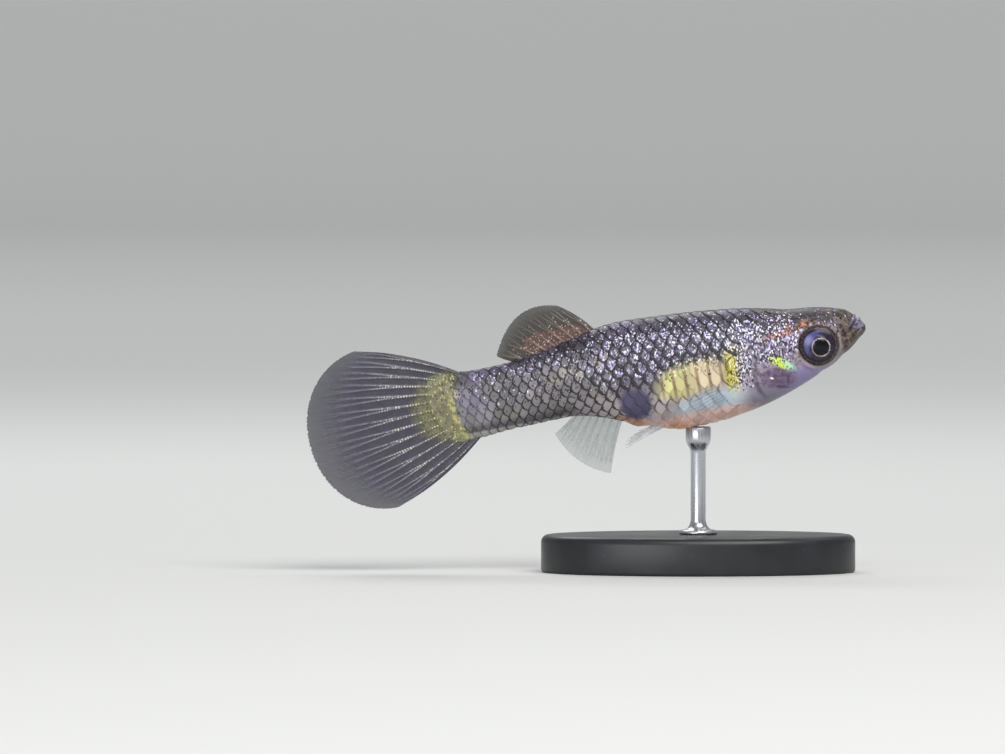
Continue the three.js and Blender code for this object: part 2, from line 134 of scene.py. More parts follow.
# %% [markdown]
# The body is a stack of egg-shaped sections. Three lines down its length give the back, the belly and the
# half width, measured against the photo from the side and taken from the species from above. Two more say how
# square each section is above and below, because a guppy's crown is nearly flat. The lines run a little past
# the end of the stalk, where the flesh thins out to a wedge between the rays of the tail fin.

# %% Lines of the body
STANDARD_LENGTH, BODY_DEPTH, BODY_WIDTH = 32.6, 9.05, 6.1
WEDGE_END = 35.2

back_line = smooth_line([
    (0, 0.03), (0.006, 0.062), (0.016, 0.098), (0.031, 0.154), (0.064, 0.205), (0.112, 0.246), (0.17, 0.269),
    (0.275, 0.347), (0.383, 0.397), (0.49, 0.425), (0.628, 0.431), (0.71, 0.368), (0.81, 0.296),
    (0.9, 0.263), (0.966, 0.264), (1, 0.278), (1.08, 0.31),
])
belly_line = smooth_line([
    (0, 0.046), (0.006, 0.068), (0.016, 0.093), (0.031, 0.14), (0.062, 0.213), (0.113, 0.31), (0.196, 0.434),
    (0.276, 0.52), (0.353, 0.567), (0.43, 0.585), (0.49, 0.58), (0.537, 0.53), (0.613, 0.426), (0.696, 0.32),
    (0.752, 0.284), (0.844, 0.285), (0.92, 0.297), (0.966, 0.312), (1, 0.33), (1.08, 0.37),
])
width_line = smooth_line([
    (0, 0.2), (0.006, 0.3), (0.016, 0.42), (0.034, 0.54), (0.068, 0.66), (0.12, 0.765), (0.17, 0.835),
    (0.245, 0.905), (0.35, 0.99), (0.43, 1), (0.5, 0.97), (0.56, 0.885), (0.62, 0.785), (0.69, 0.66),
    (0.77, 0.53), (0.85, 0.42), (0.92, 0.34), (0.966, 0.285), (1, 0.235), (1.04, 0.12), (1.08, 0.045),
])
widest_line = smooth_line([
    (0, -0.01), (0.1, -0.04), (0.3, -0.08), (0.45, -0.13), (0.62, -0.05), (0.8, 0), (1, -0.02),
])
crown_line = smooth_line([(0, 2.1), (0.06, 2.5), (0.15, 2.6), (0.3, 2.2), (0.6, 2), (1, 1.9)])
throat_line = smooth_line([(0, 2.1), (0.1, 2.6), (0.25, 2.3), (0.45, 2.2), (0.6, 2), (1, 1.9)])
print("body depth", BODY_DEPTH, "mm, width", BODY_WIDTH, "mm")

# %% [markdown]
# One function turns those lines into points. Above and below its widest level a section is half a
# superellipse, an oval whose corners a power fills out or takes in. Where the tail fin starts, the sections
# lean with the fin's root and their middle is drawn back, so the flesh ends in a rounded border.


# %% Points of the plain body
ROOT_LEAN, ROOT_ROUNDING, ROOT_HALF_HEIGHT = 0.14, 1.1, 3.4


def body_point(s, angle):
    """Points of the plain body, s behind the snout and turned by angle from the left side over the back."""
    share = s / STANDARD_LENGTH
    widest = BODY_DEPTH * widest_line(share)
    up = np.sin(angle) >= 0
    reach = np.where(up, BODY_DEPTH * back_line(share) - widest, widest + BODY_DEPTH * belly_line(share))
    power = 2 / np.where(up, crown_line(share), throat_line(share))
    z = widest + reach * np.sign(np.sin(angle)) * np.abs(np.sin(angle)) ** power
    y = BODY_WIDTH / 2 * width_line(share) * np.sign(np.cos(angle)) * np.abs(np.cos(angle)) ** power
    lean = ROOT_LEAN * z * step(share, 0.88, 1)
    at_root = step(share, 0.96, 1.08)
    rounding = ROOT_ROUNDING * (1 - (z / ROOT_HALF_HEIGHT) ** 2) * at_root
    return np.stack([-s - lean - rounding + ROOT_ROUNDING * at_root, y, z], -1)


top = body_point(np.array([12.0]), np.array([math.pi / 2]))[0]
print("12 mm behind the snout the back is", round(float(top[2]), 2), "mm above the middle line")

# %% [markdown]
# Relief and scales stand square on the skin, so the outward direction is needed everywhere. Two short steps
# over the skin, one back along the fish and one round it, span a small patch, and their cross product stands
# square on it. A finished mesh knows its normals too, but here they are needed before the mesh is made.


# %% Outward directions of the body
def outward(s, angle):
    """The directions that stand square on the plain body at those places."""
    ahead = body_point(s + 0.02, angle) - body_point(s - 0.02, angle)
    round_it = body_point(s, angle + 0.01) - body_point(s, angle - 0.01)
    square = np.cross(ahead, round_it)
    length = np.linalg.norm(square, axis=-1, keepdims=True)
    return square / np.maximum(length, 1e-9)


middle = outward(np.array([12.0]), np.array([math.pi / 2]))
print("over the back the skin faces", np.round(middle[0], 2))

# %% [markdown]
# What makes a head look alive is in small relief: the groove of the mouth between two lips, the rim round the
# eye, the nostrils, and the gill cover, which ends in a free edge with a slit behind it. Each is a height in
# millimetres at a place on the side of the fish, and all are summed and pushed out along the skin. Cutting
# them with booleans would leave hard seams; pushing the skin keeps it one surface. The mouth comes first: a
# line from the tip of the snout to its corner, with a lip on either side of it.


# %% Relief of the mouth
MOUTH_FRONT, MOUTH_CORNER = np.array([0.56, 0.68]), np.array([1.2, -0.1])


def mouth_relief(s, z):
    """Two lips with a groove between them, and a dimple at the corner."""
    along = MOUTH_CORNER - MOUTH_FRONT
    length = np.linalg.norm(along)
    along = along / length
    t = ((s - MOUTH_FRONT[0]) * along[0] + (z - MOUTH_FRONT[1]) * along[1]) / length
    off = -(s - MOUTH_FRONT[0]) * along[1] + (z - MOUTH_FRONT[1]) * along[0]
    inside = 1 - step(t, 0.92, 1.18)
    lips = 0.1 * hump(off - 0.2, 0.13) + 0.11 * hump(off + 0.2, 0.13)
    return inside * (lips - 0.19 * hump(off, 0.06)) - 0.03 * hump(t - 1.25, 0.2) * hump(off, 0.35)


print("the mouth is", round(float(np.linalg.norm(MOUTH_CORNER - MOUTH_FRONT)), 2), "mm long")

# %% [markdown]
# A guppy's eye bulges out of a shallow socket with a soft rim. The skin is pressed in just far enough to pass
# under the ball, which is later set over it. A deeper hole would show as a dark slot from in front.


# %% Relief round the eye
BALL_RADIUS, BALL_FRONT = EYE_RADIUS + 0.06, 0.66


def eye_relief(s, z, side):
    """The skin sinks just under the ball of the eye and no deeper, so the ball bulges out of it in front."""
    away = np.hypot(s - EYE_AT, z - EYE_HEIGHT)
    ball = EYE_RIM_AT + BALL_FRONT * np.sqrt(np.clip(1 - (away / BALL_RADIUS) ** 2, 0, 1))
    socket = -np.clip(np.abs(side) - ball + 0.16, 0, 1.15) * (1 - step(away, 1.5, 1.74))
    return socket + 0.07 * hump(away - 1.84, 0.13) - 0.05 * hump(away - 2.15, 0.16)


print("the ball stands out to", EYE_RIM_AT + BALL_FRONT, "mm from the middle of the head")

# %% [markdown]
# The gill cover is a thin plate of bone. Its rear edge is free and curved, with the slit behind it. A crease
# marks the bone in front of it and a low ridge runs over it, as on the fish.


# %% Relief of the gill cover and the nostrils
GILL_REAR, GILL_REAR_HEIGHT = 9.15, -2.5


def gill_edge(z):
    """How far behind the snout the free edge of the gill cover lies at that height."""
    return GILL_REAR - 0.17 * (z - GILL_REAR_HEIGHT) ** 2


def gill_relief(s, z):
    """The cover's swelling edge and the slit behind it, its crease and its ridge."""
    behind = s - gill_edge(z)
    there = step(z, -4.4, -3.5) * (1 - step(z, -0.5, 0.2))
    cover = 0.1 * step(behind, -1.5, -0.1) * (1 - step(behind, -0.03, 0.05))
    slit = -0.16 * step(behind, -0.02, 0.07) * (1 - step(behind, 0.1, 0.75))
    crease = -0.06 * hump(s - 6.25 - 0.1 * (z + 1.5) ** 2, 0.12)
    crease = crease * step(z, -3.6, -2.9) * (1 - step(z, -0.9, -0.2))
    ridge = 0.05 * hump(z + 1.5 + 0.35 * (s - 7.4), 0.16) * step(s, 6.4, 7) * (1 - step(s, 8, 8.7))
    return there * (cover + slit) + crease + ridge


def nostril_relief(s, z):
    """The front nostril with a raised rim, and a shallow rear one."""
    front = np.hypot(s - 1.72, z - 1.02)
    rear = np.hypot(s - 2.35, z - 0.98)
    return 0.05 * hump(front - 0.17, 0.07) - 0.16 * hump(front, 0.09) - 0.07 * hump(rear, 0.08)


print("the gill cover ends", round(float(gill_edge(np.array(-0.4))), 2), "mm back at its top")

# %% [markdown]
# Behind the head the skin has a shallow hollow for the root of each side fin, a low keel under the stalk and
# a small swelling at the vent. The head's crown has two faint ridges over the eyes.


# %% Relief of the trunk, and the finished skin
KEEL_HEIGHT = 0.14


def trunk_relief(s, angle, z):
    """Keel, vent, the hollows behind the gills and the brows."""
    bottom = hump(np.angle(np.exp(1j * (angle + math.pi / 2))), 0.35)
    keel = KEEL_HEIGHT * bottom * step(s, 23.5, 25.5) * (1 - step(s, 31.5, 32.6))
    vent = 0.22 * bottom * hump(s - 19.2, 0.55)
    pocket = -0.08 * hump(s - 10.9, 0.7) * hump(z + 2.5, 0.8)
    brow = 0.08 * hump(s - 3.7, 1.7) * hump(z - 1.35, 0.3)
    return keel + vent + pocket + brow


def skin_point(s, angle):
    """Points of the finished skin, with its relief."""
    plain = body_point(s, angle)
    z = plain[..., 2]
    relief = mouth_relief(s, z) + eye_relief(s, z, plain[..., 1]) + gill_relief(s, z) + nostril_relief(s, z)
    height = relief + trunk_relief(s, angle, z)
    return plain + outward(s, angle) * height[..., None]


print("keel under the stalk", KEEL_HEIGHT, "mm high")

# %% [markdown]
# Every piece goes the same way at the end: its bmesh becomes a mesh with its faces turned outwards, gets a
# finish, and the solids it stands in for are hidden. Pieces of the fish are made level and in millimetres, so
# their meshes are pitched and scaled first. The object itself stays unturned at the origin.


# %% From a bmesh to a piece
def mesh_from(made, name):
    """Turns the faces of a bmesh outwards and hands it over as a mesh."""
    bmesh.ops.recalc_face_normals(made, faces=made.faces)
    mesh = bpy.data.meshes.new(name)
    made.to_mesh(mesh)
    made.free()
    return mesh


def piece_from(mesh, name, material, nodes=()):
    """Makes mesh an object at the origin that rides on the part, in place of those nodes."""
    mesh.shade_smooth()
    mesh.materials.append(material)
    piece = bpy.data.objects.new(name, mesh)
    bpy.context.scene.collection.objects.link(piece)
    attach(piece, "root")
    if nodes:
        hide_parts(*nodes)
    print(name, len(mesh.polygons), "faces")


def fish_piece(mesh, name, material, nodes=()):
    """The same for a mesh that is made in the fish's own frame."""
    mesh.transform(TO_WORLD)
    piece_from(mesh, name, material, nodes)


print("one unit of a fish piece is", round(TO_WORLD.to_scale().x * 1000, 3), "mm")

# %% [markdown]
# A grid is the simplest thing that can become a skin. It is laid out by create_grid, which also gives it a
# tidy map, then each of its vertices is sent to its place by a function of u and v. Where two borders meet,
# their doubles are merged, so the sheet closes into a tube. Sculpting could give the same skin, but nobody
# could measure it or change it later by a number.


# %% Bend a grid
MERGE_MM = 2e-4


def bent_grid(name, columns, rows, place, facts=None):
    """A grid whose vertices go to place(u, v). facts(u, v) gives named numbers that its material reads."""
    grid = bmesh.new()
    grid.loops.layers.uv.new("OFBake")
    bmesh.ops.create_grid(grid, x_segments=columns, y_segments=rows, size=0.5, calc_uvs=True)
    flat = np.array([v.co[:2] for v in grid.verts]) + 0.5
    u, v = flat[:, 0], flat[:, 1]
    layers = {}
    for label, numbers in (facts(u, v) if facts else {}).items():
        layers[label] = (grid.verts.layers.float.new(label), numbers)
    for vertex, spot, i in zip(grid.verts, place(u, v), range(len(u))):
        vertex.co = spot
        for layer, numbers in layers.values():
            vertex[layer] = numbers[i]
    bmesh.ops.remove_doubles(grid, verts=grid.verts, dist=MERGE_MM)
    return mesh_from(grid, name)


print("vertices closer than", MERGE_MM, "mm are merged")

# %% [markdown]
# Colours are written as the eye reads them in the photo, from 0 to 255, and turned into the linear light that
# the renderer works in. Written as linear numbers at once, they could not be set beside the fish.


# %% Colours as the eye reads them
def light(red, green, blue):
    """A colour as a screen shows it, made linear."""
    parts = [v / 255 for v in (red, green, blue)]
    return (*[p / 12.92 if p <= 0.04045 else ((p + 0.055) / 1.055) ** 2.4 for p in parts], 1)


print("grey card reads", [round(v, 3) for v in light(119, 119, 119)[:3]])

# %% [markdown]
# A material is a tree of nodes under one shader. Adding a node by hand takes four or five lines: make it,
# set it, link what flows in. A small class does that in one, and hands back the node's output, so that nodes
# can be written like sums.


# %% A material under construction
class NodeTree:
    """A new material with its shader, and the means to add nodes to it."""

    def __init__(self, name):
        self.material = bpy.data.materials.new(name)
        self.material.use_nodes = True
        self.tree = self.material.node_tree
        self.shader = self.tree.nodes["Principled BSDF"]

    def add(self, kind, inputs=(), out=0, **settings):
        """A new node's output number out, with the inputs and the settings given."""
        node = self.tree.nodes.new("ShaderNode" + kind)
        for key, value in settings.items():
            setattr(node, key, value)
        for key, value in dict(inputs).items():
            self.put(node.inputs[key], value)
        return node.outputs[out]

    def put(self, socket, value):
        """Links an output to a socket, or sets the socket to a plain value."""
        if isinstance(value, bpy.types.NodeSocket):
            self.tree.links.new(value, socket)
        else:
            socket.default_value = value

    def set(self, **values):
        """Fills the shader's own inputs, whose names are written with _ for a space."""
        for key, value in values.items():
            self.put(self.shader.inputs[key.replace("_", " ")], value)


print("nodes are added by their kind, such as ShaderNodeMath for Math")

# %% [markdown]
# On top of that come the few kinds that paint a fish: sums, blends of two colours, smooth ramps, clouds of
# noise and cells. A cell texture gives each cell a random colour, which serves as three random numbers.


# %% The nodes that paint a fish
Cells = namedtuple("Cells", "red green blue distance")
OBJECT = 3  # the output of a Texture Coordinate node that gives places on the object


class Finish(NodeTree):
    """A material that is written in sums, blends, ramps, noises and cells."""

    def sum(self, kind, a, b=0.0, c=0.0):
        """A Math node of that kind."""
        return self.add("Math", {0: a, 1: b, 2: c}, operation=kind)

    def times(self, a, b):
        """a multiplied by b."""
        return self.sum("MULTIPLY", a, b)

    def blend(self, share, a, b, how="MIX"):
        """Colour a where share is 0, b where it is 1."""
        mix = self.tree.nodes.new("ShaderNodeMix")
        mix.data_type = "RGBA"
        mix.blend_type = how
        for socket, value in ((mix.inputs[0], share), (mix.inputs[6], a), (mix.inputs[7], b)):
            self.put(socket, value)
        return mix.outputs[2]

    def ramp(self, value, start, end, low=0.0, high=1.0):
        """low up to start, high from end, and smooth between. start may be above end."""
        inputs = {"Value": value, "From Min": start, "From Max": end, "To Min": low, "To Max": high}
        if start > end:
            inputs.update({"From Min": end, "From Max": start, "To Min": high, "To Max": low})
        return self.add("MapRange", inputs, interpolation_type="SMOOTHSTEP")

    def fact(self, name):
        """A number that the mesh carries under that name."""
        return self.add("Attribute", out=2, attribute_name=name)

    def noise(self, spot, scale, detail, rough=0.5):
        """A cloudy number round 0.5, rougher the more detail and roughness it has."""
        return self.add("TexNoise", {"Vector": spot, "Scale": scale, "Detail": detail, "Roughness": rough})

    def cells(self, spot, per_mm):
        """Three random numbers for each cell of a texture, and the distance from its middle."""
        node = self.tree.nodes.new("ShaderNodeTexVoronoi")
        self.put(node.inputs["Vector"], spot)
        self.put(node.inputs["Scale"], per_mm)
        parts = self.tree.nodes.new("ShaderNodeSeparateColor")
        self.put(parts.inputs[0], node.outputs["Color"])
        return Cells(*parts.outputs[:3], node.outputs["Distance"])


print("a finish knows", [name for name in vars(Finish) if name[0] != "_"])

# %% [markdown]
# The markings are painted in the fish's own frame. A Mapping node undoes the pitch, so that one unit is one
# millimetre, s is the way back from the snout and z the height. A patch is then an ellipse with a soft edge,
# and a daub lays one colour over another through such a mask. Skin and scales read the same functions, so a
# patch runs on from one to the other without a step. An image could carry the markings too, but it would have
# to be painted first, and it would blur close up.


# %% Places, patches and daubs
class Place:
    """Where a point lies on the fish: s back from the snout and z up, in millimetres."""

    def __init__(self, finish):
        level_turn = turned.to_3x3().inverted()
        self.spot = finish.add("Mapping", {
            "Vector": finish.add("TexCoord", out=OBJECT), "Scale": (1 / MM,) * 3,
            "Rotation": (0, math.radians(-PITCH_DEGREES), 0), "Location": -(level_turn @ snout) / MM,
        })
        parts = finish.tree.nodes.new("ShaderNodeSeparateXYZ")
        finish.put(parts.inputs[0], self.spot)
        self.s = finish.times(parts.outputs[0], -1.0)
        self.z = parts.outputs[2]


def patch(finish, place, middle, size, tilt=0.0, soft=0.35, rough=None):
    """1 inside an ellipse of half sizes size round middle, 0 outside, with a soft edge."""
    turn = math.radians(tilt)
    ds = finish.sum("SUBTRACT", place.s, middle[0])
    dz = finish.sum("SUBTRACT", place.z, middle[1])
    lengthwise = finish.times(dz, math.sin(turn) / size[0])
    crosswise = finish.times(dz, math.cos(turn) / size[1])
    along = finish.sum("MULTIPLY_ADD", ds, math.cos(turn) / size[0], lengthwise)
    across = finish.sum("MULTIPLY_ADD", ds, -math.sin(turn) / size[1], crosswise)
    away = finish.sum("SQRT", finish.sum("MULTIPLY_ADD", along, along, finish.times(across, across)))
    if rough is not None:
        away = finish.sum("ADD", away, rough)
    return finish.ramp(away, 1 + soft, 1 - soft)


def daub(finish, colour, mask, tone, share=1.0):
    """tone laid over colour where mask is 1, as thickly as share says."""
    return finish.blend(finish.times(mask, share), colour, tone)


print("patches are placed in mm, turned back by", -PITCH_DEGREES, "degrees")

# %% [markdown]
# Natural colour is never even. Three textures give the unevenness: a wide noise for clouds of colour, a fine
# one for mottling and for ragged borders, and a cell texture whose cells stand for single crystals and
# pigment cells. One of a cell's random numbers says what the cell is, and another says its hue.


# %% Textures that all markings share
CRYSTALS_PER_MM = 10.0
BACK_AT_SNOUT, BACK_RISE, BACK_FALL, FALL_FROM, STALK_TOP = 2.1, 0.085, -0.24, 20.5, 2.3


class Grain(Place):
    """A place together with the noises and cells of the skin there."""

    def __init__(self, finish):
        super().__init__(finish)
        self.wide = finish.noise(self.spot, 0.55, 3.0)
        self.fine = finish.noise(self.spot, 2.6, 4.0, 0.7)
        self.wobble = finish.sum("MULTIPLY_ADD", self.fine, 0.7, -0.35)
        slanted = {"Vector": self.spot, "Scale": (1.0, 1.0, 0.62), "Rotation": (0, 0.35, 0)}
        cells = finish.cells(finish.add("Mapping", slanted), CRYSTALS_PER_MM)
        self.chance, self.hue = cells.red, cells.green

        # The height as a share of the way from the middle line to the back, which falls towards the tail
        back = finish.sum("MULTIPLY_ADD", self.s, BACK_RISE, BACK_AT_SNOUT)
        behind = finish.sum("MAXIMUM", finish.sum("SUBTRACT", self.s, FALL_FROM), 0.0)
        top = finish.sum("MAXIMUM", finish.sum("MULTIPLY_ADD", behind, BACK_FALL, back), STALK_TOP)
        self.level = finish.sum("DIVIDE", self.z, top)


print(CRYSTALS_PER_MM, "crystals to the millimetre")

# %% [markdown]
# The ground colour of a guppy is a dark back over grey sides with a lilac cast, which turn to a smoked,
# neutral grey behind the belly. It is four tones blended by level and by distance from the snout.


# %% Ground tones of the body
BACK_TONE = light(60, 55, 62)


def body_tones(finish, at):
    """The ground colour from the back down to the belly."""
    side = finish.blend(finish.ramp(at.s, 17, 24), light(106, 101, 115), light(118, 113, 116))
    low_side = finish.blend(finish.ramp(at.s, 20.5, 25), light(182, 170, 164), light(126, 123, 118))
    colour = finish.blend(finish.ramp(at.level, 0.1, -0.7), side, low_side)
    colour = finish.blend(finish.ramp(at.level, 0.38, 0.85), colour, BACK_TONE)
    return daub(finish, colour, finish.ramp(at.wide, 0.35, 0.7), light(150, 140, 175), 0.35)


print("back", [round(v, 3) for v in BACK_TONE[:3]], "in linear light")

# %% [markdown]
# The head has no scales on it, so its colours lie on the skin itself: a mottled crown and snout, lavender
# lips and throat with a painted highlight on the upper lip, a pale rim round the eye and a copper streak
# behind it.
# The gill cover is thin, and the gills shine through as a plum patch with dark lines of painted shade in its
# folds and a small painted wet highlight. Over it a yellow-green glint fades to pale green.


# %% Tones of the head
COPPER, PLUM_DARK, PLUM, FOLD_SHADE = light(212, 138, 88), light(84, 62, 90), light(122, 98, 130), light(62, 40, 66)
FOLD_SHADE_PLACES = [((6.75, -3.0), (0.1, 0.42), 6), ((7.3, -3.45), (0.62, 0.1), 14)]


def face_tones(finish, at):
    """Crown, cheek, throat, nose and lips."""
    crown = finish.blend(finish.ramp(at.fine, 0.42, 0.6), light(42, 36, 44), light(96, 84, 88))
    cheek = finish.blend(finish.ramp(at.fine, 0.35, 0.62), light(96, 86, 92), light(160, 150, 166))
    throat = finish.blend(finish.ramp(at.s, 5.0, 8.5), light(136, 126, 166), light(132, 124, 142))
    nose = finish.blend(finish.ramp(at.fine, 0.4, 0.62), light(42, 34, 32), light(116, 100, 88))
    face = finish.blend(finish.ramp(at.z, 0.3, 1.3), cheek, crown)
    face = finish.blend(finish.ramp(finish.sum("MULTIPLY_ADD", at.s, 0.3, at.z), 0.2, -1.1), face, throat)
    face = finish.blend(finish.ramp(at.s, 3.0, 1.7), face, nose)
    # lavender lip tone at the snout's tip, partly a painted highlight on the upper lip
    lips = patch(finish, at, (0.35, 0.45), (0.6, 0.6), 50, 0.4)
    return daub(finish, face, lips, light(142, 132, 156), 0.8)


def gill_tones(finish, at, colour):
    """colour with the gills' plum, painted shade in its folds, a painted wet highlight, and the glint over
    it.
    """
    plum = patch(finish, at, (7.55, -2.7), (1.35, 0.8), 10, 0.35, at.wobble)
    colour = daub(finish, colour, plum, finish.blend(finish.ramp(at.fine, 0.35, 0.65), PLUM_DARK, PLUM), 0.85)
    # painted shade: darker lines where the gill's folds lie
    for middle, size, tilt in FOLD_SHADE_PLACES:
        colour = daub(finish, colour, patch(finish, at, middle, size, tilt, 0.6), FOLD_SHADE, 0.6)
    # painted highlight: a small pure white spot on the gill cover
    painted_highlight = patch(finish, at, (8.0, -2.62), (0.14, 0.07), 25, 0.6)
    colour = finish.blend(painted_highlight, colour, light(255, 255, 255))
    glint = patch(finish, at, (7.0, -1.6), (1.1, 0.34), 34, 0.35, at.wobble)
    glint = finish.times(glint, finish.ramp(at.chance, 0.12, 0.3))
    shine = finish.blend(finish.ramp(at.s, 6.3, 7.1), light(176, 236, 196), light(208, 232, 74))
    return daub(finish, colour, glint, shine, 0.95)


def head_tones(finish, at, body):
    """The body's colour with the head's in front of it, and the mask of the head."""
    on_head = finish.ramp(finish.sum("MULTIPLY_ADD", at.z, 0.25, at.s), 10.2, 8.4)
    colour = finish.blend(on_head, body, face_tones(finish, at))
    rim = patch(finish, at, (EYE_AT, EYE_HEIGHT), (1.86, 1.86), 0, 0.06)
    colour = daub(finish, colour, rim, light(158, 146, 142), 0.7)
    copper = patch(finish, at, (5.9, 0.85), (2.0, 0.42), -8, 0.5, at.wobble)
    colour = daub(finish, colour, finish.times(copper, finish.ramp(at.fine, 0.42, 0.6)), COPPER, 0.85)
    return gill_tones(finish, at, colour), on_head


print(len(FOLD_SHADE_PLACES), "folds on the gill cover")

# %% [markdown]
# The belly is where a female guppy is most telling. Its wall is so thin that cream and yellow flesh show
# through as a window, crossed by the dark bars of the ribs. Behind it the ripe ovary shows as the navy gravid
# spot, with a bluish veil above. A silvery haze lies below the window, and salmon and orange along the keel.
# The simple patches stand in a table and are laid on in its order.


# %% Tones of the belly
BELLY_PATCHES = [
    # name, middle, half sizes, tilt, softness, share, tone
    ("haze", (13.3, -3.85), (3.0, 1.1), -8, 0.4, 0.8, light(184, 202, 216)),
    ("salmon", (15.0, -5.25), (5.2, 1.15), -3, 0.3, 0.85, light(240, 194, 178)),
    ("orange", (16.2, -5.2), (1.0, 0.45), 0, 0.5, 0.8, light(220, 160, 100)),
    ("vent", (19.5, -3.95), (1.3, 0.35), 20, 0.5, 0.8, light(222, 160, 110)),
    ("gravid_spot", (18.95, -2.7), (1.3, 1.25), 18, 0.2, 0.9, light(60, 58, 96)),
    ("veil", (18.6, -1.3), (1.9, 1.2), 0, 0.5, 0.62, light(84, 78, 108)),
]


def belly_tones(finish, at, colour):
    """colour with the belly's patches over it, and their masks by name."""
    masks = {"window": patch(finish, at, (14.2, -1.55), (3.1, 1.35), -4, 0.3, at.wobble)}
    cream = finish.blend(finish.ramp(at.s, 13.0, 16.5), light(216, 200, 164), light(214, 210, 132))
    bars = finish.add("TexWave", {"Vector": at.spot, "Scale": 0.33, "Distortion": 0.5, "Detail": 1.0}, out=1)
    cream = daub(finish, cream, finish.ramp(bars, 0.72, 0.95), light(128, 94, 66), 0.7)
    colour = daub(finish, colour, masks["window"], cream, 0.92)
    masks["band"] = patch(finish, at, (11.05, -1.55), (0.55, 2.0), 6, 0.45, at.wobble)
    yellow = finish.blend(finish.ramp(at.fine, 0.38, 0.56), light(112, 92, 34), light(226, 214, 70))
    colour = daub(finish, colour, masks["band"], yellow, 0.9)
    for name, middle, size, tilt, soft, share, tone in BELLY_PATCHES:
        masks[name] = patch(finish, at, middle, size, tilt, soft, at.wobble)
        colour = daub(finish, colour, masks[name], tone, share)
    return colour, masks


print(len(BELLY_PATCHES) + 2, "patches on the belly")

# %% [markdown]
# The stalk has a warm tinge above the anal fin, a dark line low on its side and a pale keel. At its end an
# olive cap reaches on to the tail fin, with a broken yellow arc along its front edge. The cap's border bends
# forward above and below, so the distance is counted with the square of the height added.


# %% Tones of the stalk
OLIVE_FROM = 32.7


def stalk_tones(finish, at, colour):
    """colour with the markings of the stalk and its olive cap over it."""
    tinge = patch(finish, at, (23.0, 0.5), (4.6, 1.1), -4, 0.5)
    tinge = finish.times(tinge, finish.ramp(at.wide, 0.45, 0.65))
    colour = daub(finish, colour, tinge, light(196, 190, 120), 0.3)
    stalk = finish.ramp(at.s, 23.5, 25)
    line = finish.times(finish.ramp(at.z, -1.7, -2.25), finish.ramp(at.z, -2.62, -2.42))
    colour = daub(finish, colour, finish.times(line, stalk), light(52, 48, 60), 0.6)
    keel = finish.times(finish.ramp(at.z, -2.45, -2.62), stalk)
    colour = daub(finish, colour, keel, light(160, 160, 156), 0.8)

    bent = finish.sum("MULTIPLY_ADD", finish.times(at.z, at.z), 0.1, at.s)
    arc = finish.sum("ADD", bent, finish.times(at.wobble, 0.8))
    olive = finish.blend(finish.ramp(at.fine, 0.35, 0.65), light(92, 92, 66), light(136, 134, 96))
    colour = daub(finish, colour, finish.ramp(arc, OLIVE_FROM, OLIVE_FROM + 1), olive, 0.9)
    bright = finish.times(finish.ramp(arc, 33.05, 33.3), finish.ramp(arc, 33.75, 33.45))
    bright = finish.times(bright, finish.ramp(at.z, 1.9, 0.6, 0.2, 1.0))
    broken = finish.ramp(at.fine, 0.42, 0.62, 0.1, 0.7)
    colour = daub(finish, colour, bright, light(204, 196, 106), broken)
    gold = finish.times(finish.sum("GREATER_THAN", at.chance, 0.9), finish.ramp(arc, 32.4, 33.4))
    return daub(finish, colour, gold, light(214, 206, 132), 0.55)


print("the olive cap starts about", OLIVE_FROM, "mm from the snout")

# %% [markdown]
# On top lies the glitter. Guanine crystals flash white, lilac and now and then green, and cream beside the
# window, and black pigment cells lie between them. Cells of the texture whose chance is high become crystals
# and those whose chance is low become pigment, so a share from 0 to 1 says how thickly they lie.


# %% Glitter and pigment cells
CRYSTAL_SHARE, PIGMENT_SHARE = 0.27, 0.4


def where_it_glitters(finish, at, on_crown):
    """How thickly crystals lie: high on the side, along the back, on the cheek and a few on the crown."""
    lit = finish.times(finish.ramp(at.level, -0.45, 0.15), finish.ramp(at.level, 1.0, 0.62, 0.12, 1.0))
    lit = finish.times(lit, finish.ramp(at.s, 25, 18, 0.12, 1.0))
    crest = finish.times(finish.ramp(at.level, 0.3, 0.5), finish.ramp(at.level, 0.95, 0.7))
    lit = finish.sum("MAXIMUM", lit, finish.times(crest, 0.5))
    lit = finish.times(lit, finish.times(finish.ramp(at.s, 32.5, 30.5), finish.ramp(at.s, 4.8, 6.4)))
    cheek = patch(finish, at, (8.2, 0.1), (3.7, 1.5), 2, 0.4)
    shoulder = patch(finish, at, (10.3, -1.6), (0.9, 1.4), 0, 0.4)
    lit = finish.sum("MAXIMUM", lit, finish.sum("MAXIMUM", cheek, shoulder))
    return finish.sum("MAXIMUM", lit, finish.times(on_crown, 0.1))


